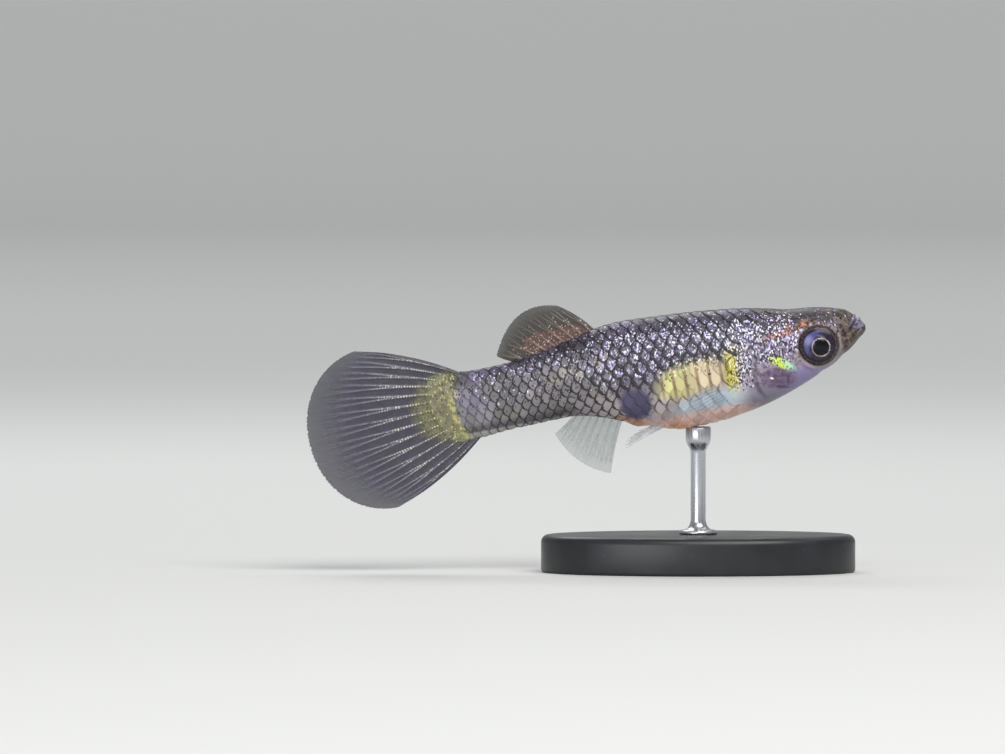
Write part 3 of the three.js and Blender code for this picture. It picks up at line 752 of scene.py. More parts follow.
def glitter(finish, at, colour, on_head, masks):
    """colour with the glitter over it, and the mask of the quiet places where little of it lies."""
    on_crown = finish.times(on_head, finish.ramp(at.z, 0.1, 1.0))
    flash = where_it_glitters(finish, at, on_crown)
    crystal = finish.blend(at.hue, light(250, 250, 255), light(172, 156, 236))
    crystal = finish.blend(finish.ramp(at.hue, 0.94, 0.99), crystal, light(170, 222, 222))
    sunny = patch(finish, at, (13.2, -0.35), (3.4, 0.75), -6, 0.5, at.wobble)
    sunny = finish.sum("MAXIMUM", sunny, masks["band"])
    crystal = daub(finish, crystal, sunny, light(244, 238, 176), 0.85)
    cut = finish.sum("SUBTRACT", 1.0, finish.times(flash, CRYSTAL_SHARE))
    colour = daub(finish, colour, finish.sum("GREATER_THAN", at.chance, cut), crystal, 0.9)

    over_window = finish.sum("MAXIMUM", masks["window"], masks["gravid_spot"])
    quiet = finish.sum("MAXIMUM", over_window, finish.sum("MAXIMUM", masks["salmon"], masks["haze"]))
    busy = finish.sum("MAXIMUM", flash, on_crown)
    busy = finish.sum("MAXIMUM", busy, finish.ramp(at.level, -0.75, -0.1, 0.0, 0.6))
    busy = finish.times(busy, finish.ramp(at.s, 31.5, 22.0, 0.45, 1.0))
    busy = finish.times(busy, finish.ramp(at.s, 33.6, 32.4, 0.3, 1.0))
    loud = finish.sum("SUBTRACT", 1.0, finish.times(quiet, 0.85))
    dark = finish.sum("LESS_THAN", at.chance, finish.times(finish.times(busy, PIGMENT_SHARE), loud))
    return daub(finish, colour, dark, light(32, 26, 36), 0.86), quiet


def markings(finish, at):
    """The colour of skin and scales at a place, and the mask of the quiet places."""
    colour, on_head = head_tones(finish, at, body_tones(finish, at))
    colour, masks = belly_tones(finish, at, colour)
    return glitter(finish, at, stalk_tones(finish, at, colour), on_head, masks)


print("at most", CRYSTAL_SHARE, "of the cells are crystals and", PIGMENT_SHARE, "pigment")

# %% [markdown]
# Wet skin has a clear coat over a soft base. It could be one smooth gloss, but then the head looks like
# plastic, so a noise as fine as pores drives a bump and breaks the highlights up as on real skin.


# %% Finish of the bare skin
def skin_finish():
    """The markings under a thin wet coat, with painted shade in deep places."""
    finish = Finish("guppy_skin_finish")
    at = Grain(finish)
    colour = markings(finish, at)[0]
    # painted shade: deep places are blended towards a near black tone
    colour = finish.blend(finish.fact("shade"), colour, light(30, 22, 30))
    pores = finish.noise(at.spot, 5.0, 4.0, 0.7)
    bump = finish.add("Bump", {"Height": pores, "Strength": 0.5, "Distance": 0.00006})
    finish.set(Base_Color=colour, Normal=bump, Metallic=0.0)
    finish.set(Roughness=finish.ramp(at.fine, 0.3, 0.7, 0.4, 0.62))
    finish.set(Coat_Weight=0.15, Coat_Roughness=0.3, Specular_IOR_Level=0.35)
    return finish.material


skin_gloss = skin_finish()
print("the skin's finish has", len(skin_gloss.node_tree.nodes), "nodes")

# %% [markdown]
# Sections of the skin crowd towards the head, where the relief is finest. The first few rows close the snout
# with a small dome, and the seam runs along the belly, out of sight. An even grid would be simpler, but it
# would spend as many faces on the plain stalk as on the mouth.


# %% Places on the skin's grid
SKIN_COLUMNS, SKIN_ROWS = 168, 380
DOME_ROWS = 0.022
EVEN = 0.35


def skin_spot(u, v):
    """Distance from the snout and angle for a place on the skin's grid."""
    t = np.clip((v - DOME_ROWS) / (1 - DOME_ROWS), 0, 1)
    return WEDGE_END * (EVEN * t + (1 - EVEN) * t**2), 2 * math.pi * u - math.pi / 2


def skin_row(s):
    """The place v on the skin's grid for a distance from the snout."""
    t = (-EVEN + np.sqrt(EVEN**2 + 4 * (1 - EVEN) * s / WEDGE_END)) / (2 * (1 - EVEN))
    return DOME_ROWS + t * (1 - DOME_ROWS)


def skin_place(u, v):
    """Points of the skin, with the dome of the snout and the closed wedge in the tail fin."""
    s, angle = skin_spot(u, v)
    points = skin_point(s, angle)
    t = np.clip(v / DOME_ROWS, 0, 1)
    middle = np.array([0, 0, -0.07])
    closing = (v < DOME_ROWS)[:, None]
    dome = middle + (points - middle) * np.sin(t * math.pi / 2)[:, None]
    dome[:, 0] += 0.1 * np.cos(t * math.pi / 2)
    wedge = step(s, WEDGE_END - 0.02, WEDGE_END)[:, None] * np.array([0, 1, 0])
    return np.where(closing, dome, points * (1 - wedge))


print(SKIN_COLUMNS, "columns round the skin and", SKIN_ROWS, "rows along it")

# %% [markdown]
# Deep places are darkened with painted shade: the mouth's groove, the gill slit, the nostrils and a ring
# round the eye. So the skin carries a number, shade, that says how deep a place lies, and its finish paints
# shade there.


# %% The skin
def skin_facts(u, v):
    """Painted shade: how deep a place lies in the mouth, in the gill slit or under the rim of the eye."""
    s, angle = skin_spot(u, v)
    z = body_point(s, angle)[:, 2]
    # painted shade in the mouth's groove, the gill slit, the nostrils and a ring round the eye
    deep = -(mouth_relief(s, z) + 0.6 * gill_relief(s, z) + nostril_relief(s, z))
    socket = 1 - step(np.hypot(s - EYE_AT, z - EYE_HEIGHT), 1.5, 1.66)
    return {"shade": np.maximum(0.85 * step(deep, 0.05, 0.15), 0.8 * socket)}


skin_mesh = bent_grid("guppy_skin", SKIN_COLUMNS, SKIN_ROWS, skin_place, skin_facts)
fish_piece(
    skin_mesh, "guppy_skin", skin_gloss,
    ["head", "lower_jaw", "gill_cover_left", "gill_cover_right", "trunk", "tail_stalk"],
)

# %% [markdown]
# Scales sit like roof tiles: each is rooted under the one in front and its rounded rear edge is free. A bump
# in the material would be cheaper, but real plates catch the light along their edges and show in outline.
# To lay them in even rows, distance down the side has to be measured over the skin, so the arc of each
# section is added up first.


# %% Measure round the body
SECTIONS = np.linspace(0.5, WEDGE_END - 0.3, 240)
DOWN_ANGLES = np.linspace(math.pi / 2, -math.pi / 2, 121)
arcs = []
for s_here in SECTIONS:
    ring = body_point(np.full(len(DOWN_ANGLES), s_here), DOWN_ANGLES)
    arcs.append(np.concatenate([[0], np.cumsum(np.linalg.norm(np.diff(ring, axis=0), axis=1))]))
arcs = np.array(arcs)


def angle_down(s, d):
    """The angles at which the skin lies d below the middle of the back, measured over it."""
    row = np.clip((s - SECTIONS[0]) / (SECTIONS[1] - SECTIONS[0]), 0, len(SECTIONS) - 1.001)
    first = row.astype(int)
    share = row - first
    near = np.array([np.interp(a, arcs[i], DOWN_ANGLES) for a, i in zip(d, first)])
    far = np.array([np.interp(a, arcs[i + 1], DOWN_ANGLES) for a, i in zip(d, first)])
    return near * (1 - share) + far * share


print("half the girth is", round(arcs[100, -1], 2), "mm at", round(SECTIONS[100], 1), "mm from the snout")

# %% [markdown]
# Rows of scales run along the body, counted down from the back, and every second row is shifted by half a
# scale. The rows keep their width, so as the belly tapers the lowest rows end at its keel, as they do on the
# fish. The head has none: the rows start on the nape and, lower down, behind the gill cover. Each scale also
# draws two random numbers, for its tone and its seat.


# %% Lay out the scales
SCALE_PITCH_FRONT, SCALE_PITCH_REAR = 0.95, 0.8
ROW_FRONT, ROW_REAR = 0.86, 0.68
NAPE, LAST_ROOT, LAST_COLUMN, MOST_ROWS = 5.6, 32.0, 33.2, 20
KEEL_GAP = 0.15

draw = np.random.default_rng(7)
scales = []
s_here = NAPE
while s_here < LAST_COLUMN:
    narrowing = step(np.clip(s_here / STANDARD_LENGTH, 0, 1), 0.45, 0.85)
    pitch = SCALE_PITCH_FRONT + (SCALE_PITCH_REAR - SCALE_PITCH_FRONT) * narrowing
    width = ROW_FRONT + (ROW_REAR - ROW_FRONT) * narrowing
    girth = np.interp(s_here, SECTIONS, arcs[:, -1])
    for row in range(MOST_ROWS):
        down = width * row
        at = s_here + (pitch / 2 if row % 2 else 0)
        start = NAPE + 3.7 * step(down, 1.2, 3.2) + 0.6 * step(down, 4, 8)
        if at < start or at > LAST_ROOT or down > girth - KEEL_GAP:
            continue
        for side in (1, -1) if row else (1,):
            scales.append((at, down, side, pitch, width, draw.random(), draw.random()))
    s_here += pitch
scales = np.array(scales)
print(len(scales), "scales")

# %% [markdown]
# One scale is a small grid with its lines set closer near the free edge, and a rim extruded down from its
# border. An Array modifier repeats it, and then each copy is sent to its own place. Its shape comes from two
# numbers per vertex, across from -1 to 1 and along from 0 at the root to 1 at the free edge.


# %% One scale, repeated
ACROSS_LINES = np.array([-1, -0.84, -0.45, 0, 0.45, 0.84, 1])
ALONG_LINES = np.array([0, 0.34, 0.6, 0.76, 0.89, 1])
APART = 10.0


def repeated_scale(count):
    """A mesh of count flat scales in a row, APART from each other."""
    columns, rows = len(ACROSS_LINES) - 1, len(ALONG_LINES) - 1
    tile = bmesh.new()
    bmesh.ops.create_grid(tile, x_segments=columns, y_segments=rows, size=0.5)
    for vertex in tile.verts:
        u, v = vertex.co.x + 0.5, vertex.co.y + 0.5
        vertex.co = (ACROSS_LINES[round(u * columns)], ALONG_LINES[round(v * rows)], 0)
    border = [edge for edge in tile.edges if edge.is_boundary]
    rim = bmesh.ops.extrude_edge_only(tile, edges=border)["geom"]
    bmesh.ops.translate(tile, verts=[g for g in rim if isinstance(g, bmesh.types.BMVert)], vec=(0, 0, -1))
    holder = bpy.data.objects.new("one_scale", mesh_from(tile, "one_scale"))
    bpy.context.scene.collection.objects.link(holder)
    array = holder.modifiers.new("copies", "ARRAY")
    array.count = count
    array.use_relative_offset = False
    array.use_constant_offset = True
    array.constant_offset_displace = (APART, 0, 0)
    made = bpy.data.meshes.new_from_object(holder.evaluated_get(bpy.context.evaluated_depsgraph_get()))
    bpy.data.objects.remove(holder)
    return made


coat_mesh = repeated_scale(len(scales))
spots = np.empty(len(coat_mesh.vertices) * 3)
coat_mesh.vertices.foreach_get("co", spots)
spots = spots.reshape(-1, 3)
which = np.round(spots[:, 0] / APART).astype(int)
across, along, under = spots[:, 0] - which * APART, spots[:, 1], spots[:, 2]
root_s, root_down, side, pitch, width, tint, seat = scales[which].T
print(len(coat_mesh.polygons) // len(scales), "faces in each scale")

# %% [markdown]
# Now each copy goes to its place. A scale is longer and wider than its share of the skin, so that it overlaps
# its neighbours. It has a narrow root, wide shoulders and a rounded free edge. A scale of the middle row that
# reaches past the middle of the back is folded down on the other side.


# %% Send each scale to its place
LONGER, WIDER, CURVE, CURVE_POWER = 1.72, 1.08, 0.36, 1.8

length = LONGER * pitch
half = WIDER * width
waist = 0.62 + 0.38 * step(along, 0, 0.45) - 0.2 * step(along, 0.72, 1)
free_edge = 1 - CURVE * np.abs(across) ** CURVE_POWER
s_at = root_s + length * along * free_edge + 0.02 * (seat - 0.5)
down_at = root_down + half * across * waist
side_at = np.where(down_at < 0, -side, side)
down_at = np.abs(down_at)
angles = angle_down(s_at, down_at)
angles = np.where(side_at > 0, angles, math.pi - angles)

# Roots lie sunk in the skin and free edges stand off it, less along the back and where the tail fin starts
lift = -0.06 + 0.12 * along + 0.015 * (1 - across**2) + 0.015 * (tint - 0.5) + 0.055 * under
lift *= 0.4 + 0.6 * step(down_at, 0.4, 1.8)
before_fin = 1 - step(s_at, 32.6, 34.4)
placed = skin_point(s_at, angles) + outward(s_at, angles) * (lift * (0.35 + 0.65 * before_fin))[:, None]
coat_mesh.vertices.foreach_set("co", placed.ravel())
print("scales stand up to", round(float(lift.max()), 3), "mm off the skin")

# %% [markdown]
# The finish needs to know where on its scale a point lies: how near the rim, for the dark net, and how far
# across. It also gets the scale's own random tint. The mesh carries all three as named numbers.


# %% Numbers that the scales carry
RIM_WIDTH = 0.42

to_free_edge = (1 - along) * length * free_edge
to_flank = (1 - np.abs(across)) * half * waist * 1.3
near_rim = 1 - np.clip(np.minimum(to_free_edge, to_flank) / RIM_WIDTH, 0, 1)
for label, numbers in {"rim": near_rim, "tint": tint, "across": across}.items():
    coat_mesh.attributes.new(label, "FLOAT", "POINT").data.foreach_set("value", numbers.astype(np.float32))
print("the net starts", RIM_WIDTH, "mm inside each rim")

# %% [markdown]
# The coat's map for baking lays each scale as a small patch at its root's place on the skin's own unwrap, so
# neighbours in the map are neighbours on the fish and no two patches lie on each other.


# %% The map of the coat
PATCH, RIM_OUTSIDE, MAP_EDGE = 0.011, 0.12, 0.002
root_angle = angle_down(scales[:, 0], scales[:, 1])
root_angle = np.where(scales[:, 2] > 0, root_angle, math.pi - root_angle)
root_u = ((root_angle + math.pi / 2) / (2 * math.pi)) % 1
root_v = skin_row(scales[:, 0])
corner = np.empty(len(coat_mesh.loops), int)
coat_mesh.loops.foreach_get("vertex_index", corner)
grown = 1 + RIM_OUTSIDE * (under[corner] < 0)
patch_u = root_u[which[corner]] + PATCH * 0.5 * across[corner] * grown
patch_v = root_v[which[corner]] + PATCH * (along[corner] - 0.5) * grown
coat_map = coat_mesh.uv_layers.new(name="OFBake")
coat_map.data.foreach_set("uv", np.stack([np.clip(patch_u, MAP_EDGE, 1 - MAP_EDGE), patch_v], -1).ravel())
print("each scale takes", PATCH, "of the map")

# %% [markdown]
# Each scale shows the markings below it, a little lighter or darker than its neighbours, with a dark net:
# pigment gathers at the free edge, thick high on the side and thin over the belly, where the window shows.
# The plate is only slightly metallic and has a thin clear coat, so it glistens as a wet scale does.


# %% The net of pigment
NET_TONE = light(36, 31, 38)


def net_of_pigment(finish, at, quiet):
    """1 where the dark net lies over a scale, less where it is faint."""
    ragged = finish.sum("MULTIPLY_ADD", at.fine, 0.5, -0.25)
    bold = patch(finish, at, (16.0, -0.1), (6.0, 2.1), -4, 0.4)
    thin = finish.ramp(at.s, 21.0, 27.0, 0.0, 0.07)
    lean = finish.sum("MULTIPLY_ADD", finish.fact("across"), 0.26, 0.32)
    weight = finish.sum("SUBTRACT", finish.times(bold, lean), thin)
    edge = finish.sum("ADD", finish.sum("ADD", finish.fact("rim"), ragged), weight)
    net = finish.ramp(edge, 0.46, 0.68)
    behind = finish.sum("MAXIMUM", finish.sum("SUBTRACT", at.s, 17.0), 0.0)
    shallow = finish.sum("MULTIPLY_ADD", behind, 0.3, at.z)
    faint = finish.sum("SUBTRACT", 1.0, finish.times(quiet, 0.93))
    strength = finish.times(faint, finish.ramp(shallow, -4.0, -2.6, 0.06, 0.92))
    strength = finish.times(strength, finish.ramp(at.s, 32.4, 29.5, 0.3, 1.0))
    return finish.times(net, strength)


print("the net is", [round(v, 3) for v in NET_TONE[:3]], "in linear light")

# %% [markdown]
# The scales' own finish puts it together: the shared markings, the tint of each plate, the net, and fine
# ribs in a bump, since a real scale has growth lines too fine to model.


# %% Finish of the scales
def scale_finish():
    """Markings, each scale's tint and the net, slightly metallic under a wet coat."""
    finish = Finish("guppy_scale_finish")
    at = Grain(finish)
    colour, quiet = markings(finish, at)
    shade = finish.ramp(finish.fact("tint"), 0.0, 1.0, 0.82, 1.16)
    own_grey = finish.add("CombineColor", {0: shade, 1: shade, 2: shade})
    colour = finish.blend(1.0, colour, own_grey, "MULTIPLY")
    colour = finish.blend(net_of_pigment(finish, at, quiet), colour, NET_TONE)
    ribs = finish.noise(at.spot, 7.0, 3.0, 0.7)
    bump = finish.add("Bump", {"Height": ribs, "Strength": 0.5, "Distance": 0.00005})
    finish.set(Base_Color=colour, Normal=bump, Metallic=0.1)
    finish.set(Roughness=finish.ramp(at.fine, 0.3, 0.7, 0.36, 0.56))
    finish.set(Coat_Weight=0.2, Coat_Roughness=0.2, Specular_IOR_Level=0.4)
    return finish.material


fish_piece(coat_mesh, "guppy_scales", scale_finish())

# %% [markdown]
# An eye is a thing turned on an axis, so its profile is spun. The front is the clear cornea over a dark iris
# with a thin silver ring round a bulging black pupil. Here one closed ball carries the iris as colour, and
# the lens stands out of it as a dome.


# %% Profile of the eye, spun
ALONG_Y, ALONG_Z = Vector((0, 1, 0)), Vector((0, 0, 1))


def spun(name, profile, axis, steps, merge):
    """Closed surface of revolution. profile is [radius, place on the axis] from one end to the other."""
    turning = bmesh.new()
    verts = [turning.verts.new(Vector((radius, 0, 0)) + axis * height) for radius, height in profile]
    edges = [turning.edges.new(pair) for pair in zip(verts, verts[1:])]
    bmesh.ops.spin(
        turning, geom=verts + edges, cent=(0, 0, 0), axis=axis, angle=2 * math.pi, steps=steps,
        use_merge=True,
    )
    bmesh.ops.remove_doubles(turning, verts=turning.verts, dist=merge)
    return mesh_from(turning, name)


def eye_mesh(name, side):
    """The ball, flatter in front, with a moat round the dome of the lens."""
    profile = []
    for i in range(41):
        turn = (i / 40 - 0.5) * math.pi
        radius = BALL_RADIUS * math.cos(turn)
        lens = 0.14 * float(1 - step(radius, 0.45, 0.78)) if turn > 0 else 0
        dip = -0.05 * float(hump(radius - 0.85, 0.12)) if turn > 0 else 0
        profile.append((max(radius, 0), (0.8 if turn < 0 else BALL_FRONT) * math.sin(turn) + lens + dip))
    profile[0] = (0, profile[0][1])
    profile[-1] = (0, profile[-1][1])
    mesh = spun(name, profile, ALONG_Y, 64, 1e-4)
    if side < 0:
        mesh.transform(Matrix.Rotation(math.pi, 4, "X"))
    mesh.transform(Matrix.Translation((-EYE_AT, side * EYE_RIM_AT, EYE_HEIGHT)))
    return mesh


print("each ball is", round(2 * BALL_RADIUS, 2), "mm across")

# %% [markdown]
# The eye's colours are rings. From inside they are the black pupil, a thin broken silver ring, a dark violet
# iris with a paler crescent of painted sheen above and behind, and a mottled border. Two distances do all of
# it:
# from the middle of the whole ball and from the middle of the pupil, which sits a little low and in front.
# The wet shine is a clear coat with the index of water, over a base that hardly shines by itself.


# %% Colours of the iris
def iris_tones(finish, at, fleck, whole, inner):
    """The iris from its ground tone to its border, with its crescent and glow of painted sheen, and its dark
    rim.
    """
    iris = finish.blend(finish.ramp(at.grain, 0.35, 0.65), light(26, 22, 32), light(52, 46, 62))
    # painted sheen: a paler bluish crescent over the upper rear of the iris, brightest at its glow
    crescent_sheen = finish.times(finish.ramp(inner, 0.8, 0.95), finish.ramp(whole, 1.24, 1.1))
    upper_rear = finish.ramp(finish.sum("MULTIPLY_ADD", at.z, 0.8, at.s), 3.2, 4.3)
    iris = daub(finish, iris, finish.times(crescent_sheen, upper_rear), light(84, 84, 138), 0.85)
    sheen_glow = patch(finish, at, (4.5, -0.25), (0.3, 0.5), -35, 0.7)
    iris = daub(finish, iris, sheen_glow, light(150, 146, 204), 0.5)
    outer = finish.blend(finish.ramp(fleck, 0.4, 0.62), light(34, 26, 30), light(92, 78, 78))
    iris = finish.blend(finish.ramp(whole, 1.2, 1.27), iris, light(22, 18, 24))
    return finish.blend(finish.ramp(whole, 1.29, 1.35), iris, outer)


def ring_distance(finish, at, middle):
    """How far a point lies from middle, made a little uneven so that no ring is perfect."""
    ds, dz = finish.sum("SUBTRACT", at.s, middle[0]), finish.sum("SUBTRACT", at.z, middle[1])
    plain = finish.sum("SQRT", finish.sum("MULTIPLY_ADD", ds, ds, finish.times(dz, dz)))
    return finish.sum("ADD", plain, finish.sum("MULTIPLY_ADD", at.grain, 0.1, -0.05))


def eye_finish():
    """The rings of colour from the border to the pupil, under a clear wet coat."""
    finish = Finish("guppy_eye_finish")
    at = Place(finish)
    at.grain = finish.noise(at.spot, 3.5, 4.0, 0.7)
    fleck = finish.noise(at.spot, 9.0, 2.0, 0.7)
    whole, inner = ring_distance(finish, at, (EYE_AT, EYE_HEIGHT)), ring_distance(finish, at, PUPIL)
    colour = iris_tones(finish, at, fleck, whole, inner)
    silver = finish.times(finish.ramp(inner, 0.64, 0.68), finish.ramp(inner, 0.8, 0.72))
    broken = finish.times(finish.ramp(fleck, 0.42, 0.5), 0.9)
    colour = daub(finish, colour, silver, light(196, 174, 180), broken)
    colour = finish.blend(finish.ramp(inner, 0.68, 0.63), colour, light(2, 2, 4))
    border = finish.blend(finish.ramp(fleck, 0.4, 0.62), light(36, 29, 32), light(84, 74, 76))
    colour = finish.blend(finish.ramp(whole, 1.5, 1.56), colour, border)
    finish.set(Base_Color=colour, Roughness=0.3, Specular_IOR_Level=0.15)
    finish.set(Coat_Weight=0.6, Coat_Roughness=0.02, Coat_IOR=1.33)
    return finish.material


eye_gloss = eye_finish()
for name, side in (("left", 1), ("right", -1)):
    fish_piece(eye_mesh(f"eye_{name}_ball", side), f"eye_{name}_ball", eye_gloss, [f"eye_{name}"])

# %% [markdown]
# A fin is a thin skin stretched over bony rays that fan out and fork. It could be a plane with a texture, but
# then it has no edge and no ribs. Here a grid wraps round both faces: going across, it runs up one face and
# down the other, and its thickness comes from a formula with a ridge wherever a ray runs. Near the rim the
# thickness dies away to nothing, so the faces meet in a fine edge.


# %% Curves for the borders of a fin
def bow(start, through, end):
    """A curve from start to end that passes through its middle point."""
    start, through, end = (np.array(p, float) for p in (start, through, end))
    pull = 2 * through - (start + end) / 2

    def at(t):
        t = t[:, None]
        return (1 - t) ** 2 * start + 2 * t * (1 - t) * pull + t**2 * end

    return at


def back_at(s):
    """Height of the back at distance s."""
    return BODY_DEPTH * back_line(s / STANDARD_LENGTH)


def belly_at(s):
    """Height of the belly's keel at distance s."""
    return -BODY_DEPTH * belly_line(s / STANDARD_LENGTH)


def side_at_height(s, z):
    """Half width of the body at distance s and height z."""
    share = np.asarray(s, float) / STANDARD_LENGTH
    widest = BODY_DEPTH * widest_line(share)
    high = z > widest
    reach = np.where(high, back_at(s) - widest, widest - belly_at(s))
    power = np.where(high, crown_line(share), throat_line(share))
    inside = 1 - np.minimum(np.abs(z - widest) / reach, 1) ** power
    return BODY_WIDTH / 2 * width_line(share) * inside ** (1 / power)


print("the stalk is", round(float(back_at(30.0) - belly_at(30.0)), 2), "mm deep 30 mm behind the snout")

# %% [markdown]
# Fin rays are jointed rods that split as they run out: in a guppy's tail each one ends as a brush of four.
# The height of a ray is a soft bump across its lane, and the bump moves apart into two and then four with v,
# the way from the root to the rim. The web between them keeps its own small thickness.


# %% The rays of a fin
PER_RAY = 14
FIRST_FORK, SECOND_FORK = 0.23, 0.11


def ray_height(lane, v, forks):
    """How much of a ray's full height stands at a place. lane counts rays across the fin."""
    w = lane - np.floor(lane) - 0.5
    first = FIRST_FORK * step(v, 0.3, 0.78) * (forks > 0)
    second = SECOND_FORK * step(v, 0.6, 0.95) * (forks > 1)
    off = np.abs(np.abs(np.abs(w) - first) - second)
    width = 0.15 - 0.07 * v
    return hump(off, width) * (1 - 0.35 * step(v, 0.4, 1))


print(PER_RAY, "columns across each ray on either face")

# %% [markdown]
# A fin is then strung between two curves, its root and its rim. Each line of the grid runs from one to the
# other as a bow, the two faces stand apart by the thickness of web and rays, and a wave bends the whole
# sheet. The side borders close in a half round, and the leading ray is the thickest, as in most fins.


# %% A fin of forked rays
def fin_mesh(
    name, root, tip, rays, bulge, wave, forks=2, rows=72, skin_thick=0.09, ray_thick=0.1, fringe=0.12,
):
    """A fin from the curve root to the curve tip. bulge bows its sides out, wave(t, v) ripples it and
    fringe lets the rays stand out past the web at the rim. Thicknesses are to one side, in millimetres."""
    middle = tip(np.array([0.5]))[0] - root(np.array([0.5]))[0]
    spread = root(np.array([1.0]))[0] - root(np.array([0.0]))[0]
    spread = spread / np.linalg.norm(spread)
    normal = np.cross(middle, spread)
    normal = normal / np.linalg.norm(normal)
    length = np.linalg.norm(middle)

    def read(u, v):
        """How far across the fin u lies, and the height of the rays there."""
        t = 1 - np.abs(2 * u - 1)
        return t, ray_height(t * rays, v, forks)

    def place(u, v):
        t, ray = read(u, v)
        start, end = root(t), tip(t)
        control = (start + end) / 2 + spread * (2 * bulge * (2 * t - 1))[:, None]
        w = v[:, None]
        points = (1 - w) ** 2 * start + 2 * w * (1 - w) * control + w**2 * end
        points += normal * wave(t, v)[:, None]
        points += middle / length * (fringe * (ray - 0.6) * step(v, 0.9, 1))[:, None]
        close = np.sqrt(np.clip(1 - (1 - np.clip(np.minimum(t, 1 - t) * rays / 0.3, 0, 1)) ** 2, 0, 1))
        taper = 1 - 0.75 * step(v, 0.05, 0.85)
        edge = 1 - step(v, 0.985, 1)
        leading = 1 + 0.8 * hump(t * rays, 0.5)
        half = (skin_thick * taper + ray_thick * ray * (1 - 0.55 * v)) * leading * edge * close
        return points + normal * (half * np.sign(u - 0.5))[:, None]

    def facts(u, v):
        return {"ray": read(u, v)[1], "reach": v, "along": v * length}

    return bent_grid(name, 2 * rays * PER_RAY, rows, place, facts)


print("a fin with 14 rays has", 2 * 14 * PER_RAY, "columns")

# %% [markdown]
# A fin's web is clear skin, smoked by fine pigment, and its rays are paler and less clear. Glass would bend
# the light as a thick block does, so the shader's alpha is used: lower between the rays, higher on them, and
# a little lower again at the rim. Joints cross the rays, and dark pigment cells lie over the whole.


# %% Bare finish of a fin
PIGMENT_PER_MM = 9.0
JOINT_TURNS, BEAD_TURNS = 16.0, 27.0  # how far a wave along a ray turns in a millimetre, in radians


def grey(value):
    """The same number in red, green and blue, for an alpha that is blended as a colour."""
    return (value, value, value, 1)


class FinPlace(Place):
    """A place on a fin: its ray, its reach from root to rim, the way along in mm, noises and cells."""

    def __init__(self, finish):
        super().__init__(finish)
        self.ray, self.reach, self.along = finish.fact("ray"), finish.fact("reach"), finish.fact("along")
        self.noise = finish.noise(self.spot, 1.3, 4.0, 0.65)
        self.grit = finish.noise(self.spot, 6.0, 3.0, 0.8)
        self.cells = finish.cells(self.spot, PIGMENT_PER_MM)


def bare_fin(finish, at, web, bone, web_alpha, bone_alpha):
    """Colour and alpha of plain web and rays."""
    on_ray = finish.ramp(at.ray, 0.45, 0.85)
    dim = (*[part * 0.62 for part in web[:3]], 1)
    colour = finish.blend(finish.ramp(at.noise, 0.35, 0.65), web, dim)
    colour = daub(finish, colour, on_ray, bone, 0.9)
    alpha = finish.blend(on_ray, grey(web_alpha), grey(bone_alpha))
    colour = daub(finish, colour, finish.sum("LESS_THAN", at.cells.red, 0.1), light(36, 32, 48), 0.5)
    joints = finish.ramp(finish.sum("SINE", finish.times(at.along, JOINT_TURNS)), 0.6, 0.95)
    return daub(finish, colour, finish.times(on_ray, joints), dim, 0.3), alpha


print("joints of the rays every", round(2 * math.pi / JOINT_TURNS, 2), "mm")

# %% [markdown]
# Some fins have more: a coloured patch at the root, flecks of pigment over it, or rows of tiny gold and white
# beads along the rays. Each is a function that lays its own tone over colour and alpha, so that a fin can
# take any of them.


# %% Patches, flecks and beads on a fin
def coloured_root(finish, at, colour, alpha, middle, size, pale, deep):
    """A mottled patch of flesh at the root, hardly see-through."""
    wander = finish.sum("MULTIPLY_ADD", at.noise, 0.5, -0.25)
    near = patch(finish, at, middle, size, 0, 0.22, wander)
    tone = finish.blend(finish.ramp(at.grit, 0.4, 0.6), deep, pale)
    return daub(finish, colour, near, tone, 0.85), daub(finish, alpha, near, grey(0.97), 0.8)


def flecked(finish, at, colour, alpha, tone, share, far):
    """Single flecks, a share of all cells at the root and none beyond the reach far."""
    some = finish.sum("GREATER_THAN", at.cells.green, finish.ramp(at.reach, 0.0, far, 1 - share, 1.0))
    some = finish.times(some, finish.ramp(at.cells.distance, 0.55, 0.35))
    return daub(finish, colour, some, tone, 0.85), finish.blend(some, alpha, grey(0.95))


def beaded(finish, at, colour, alpha, share):
    """Rows of beads along the rays, gold or white, on a share of the cells."""
    row = finish.ramp(finish.sum("SINE", finish.times(at.along, BEAD_TURNS)), -0.1, 0.5)
    midway = finish.times(finish.ramp(at.reach, 0.08, 0.2), finish.ramp(at.reach, 0.72, 0.45))
    row = finish.times(row, midway)
    some = finish.sum("GREATER_THAN", at.cells.green, 1 - share)
    lit = finish.times(finish.times(row, some), finish.ramp(at.ray, 0.5, 0.85))
    bead = finish.blend(at.cells.blue, light(224, 204, 148), light(232, 230, 238))
    return daub(finish, colour, lit, bead, 0.95), finish.blend(lit, alpha, grey(1))


def fin_finish(name, web, bone, web_alpha, bone_alpha, root=None, flecks=None, beads=None):
    """root, flecks and beads are what those functions take after colour and alpha."""
    finish = Finish(name)
    at = FinPlace(finish)
    colour, alpha = bare_fin(finish, at, web, bone, web_alpha, bone_alpha)
    for lay, given in ((coloured_root, root), (flecked, flecks), (beaded, beads)):
        if given:
            colour, alpha = lay(finish, at, colour, alpha, *given)
    alpha = finish.times(alpha, finish.ramp(at.reach, 0.65, 1.0, 1.0, 0.75))
    bump = finish.add("Bump", {"Height": at.grit, "Strength": 0.2, "Distance": 0.00003})
    finish.set(Base_Color=colour, Alpha=alpha, Normal=bump)
    finish.set(Roughness=finish.ramp(at.noise, 0.3, 0.7, 0.3, 0.45))
    finish.set(Coat_Weight=0.3, Coat_Roughness=0.15, Specular_IOR_Level=0.4)
    return finish.material


print("beads every", round(2 * math.pi / BEAD_TURNS, 2), "mm along a ray")

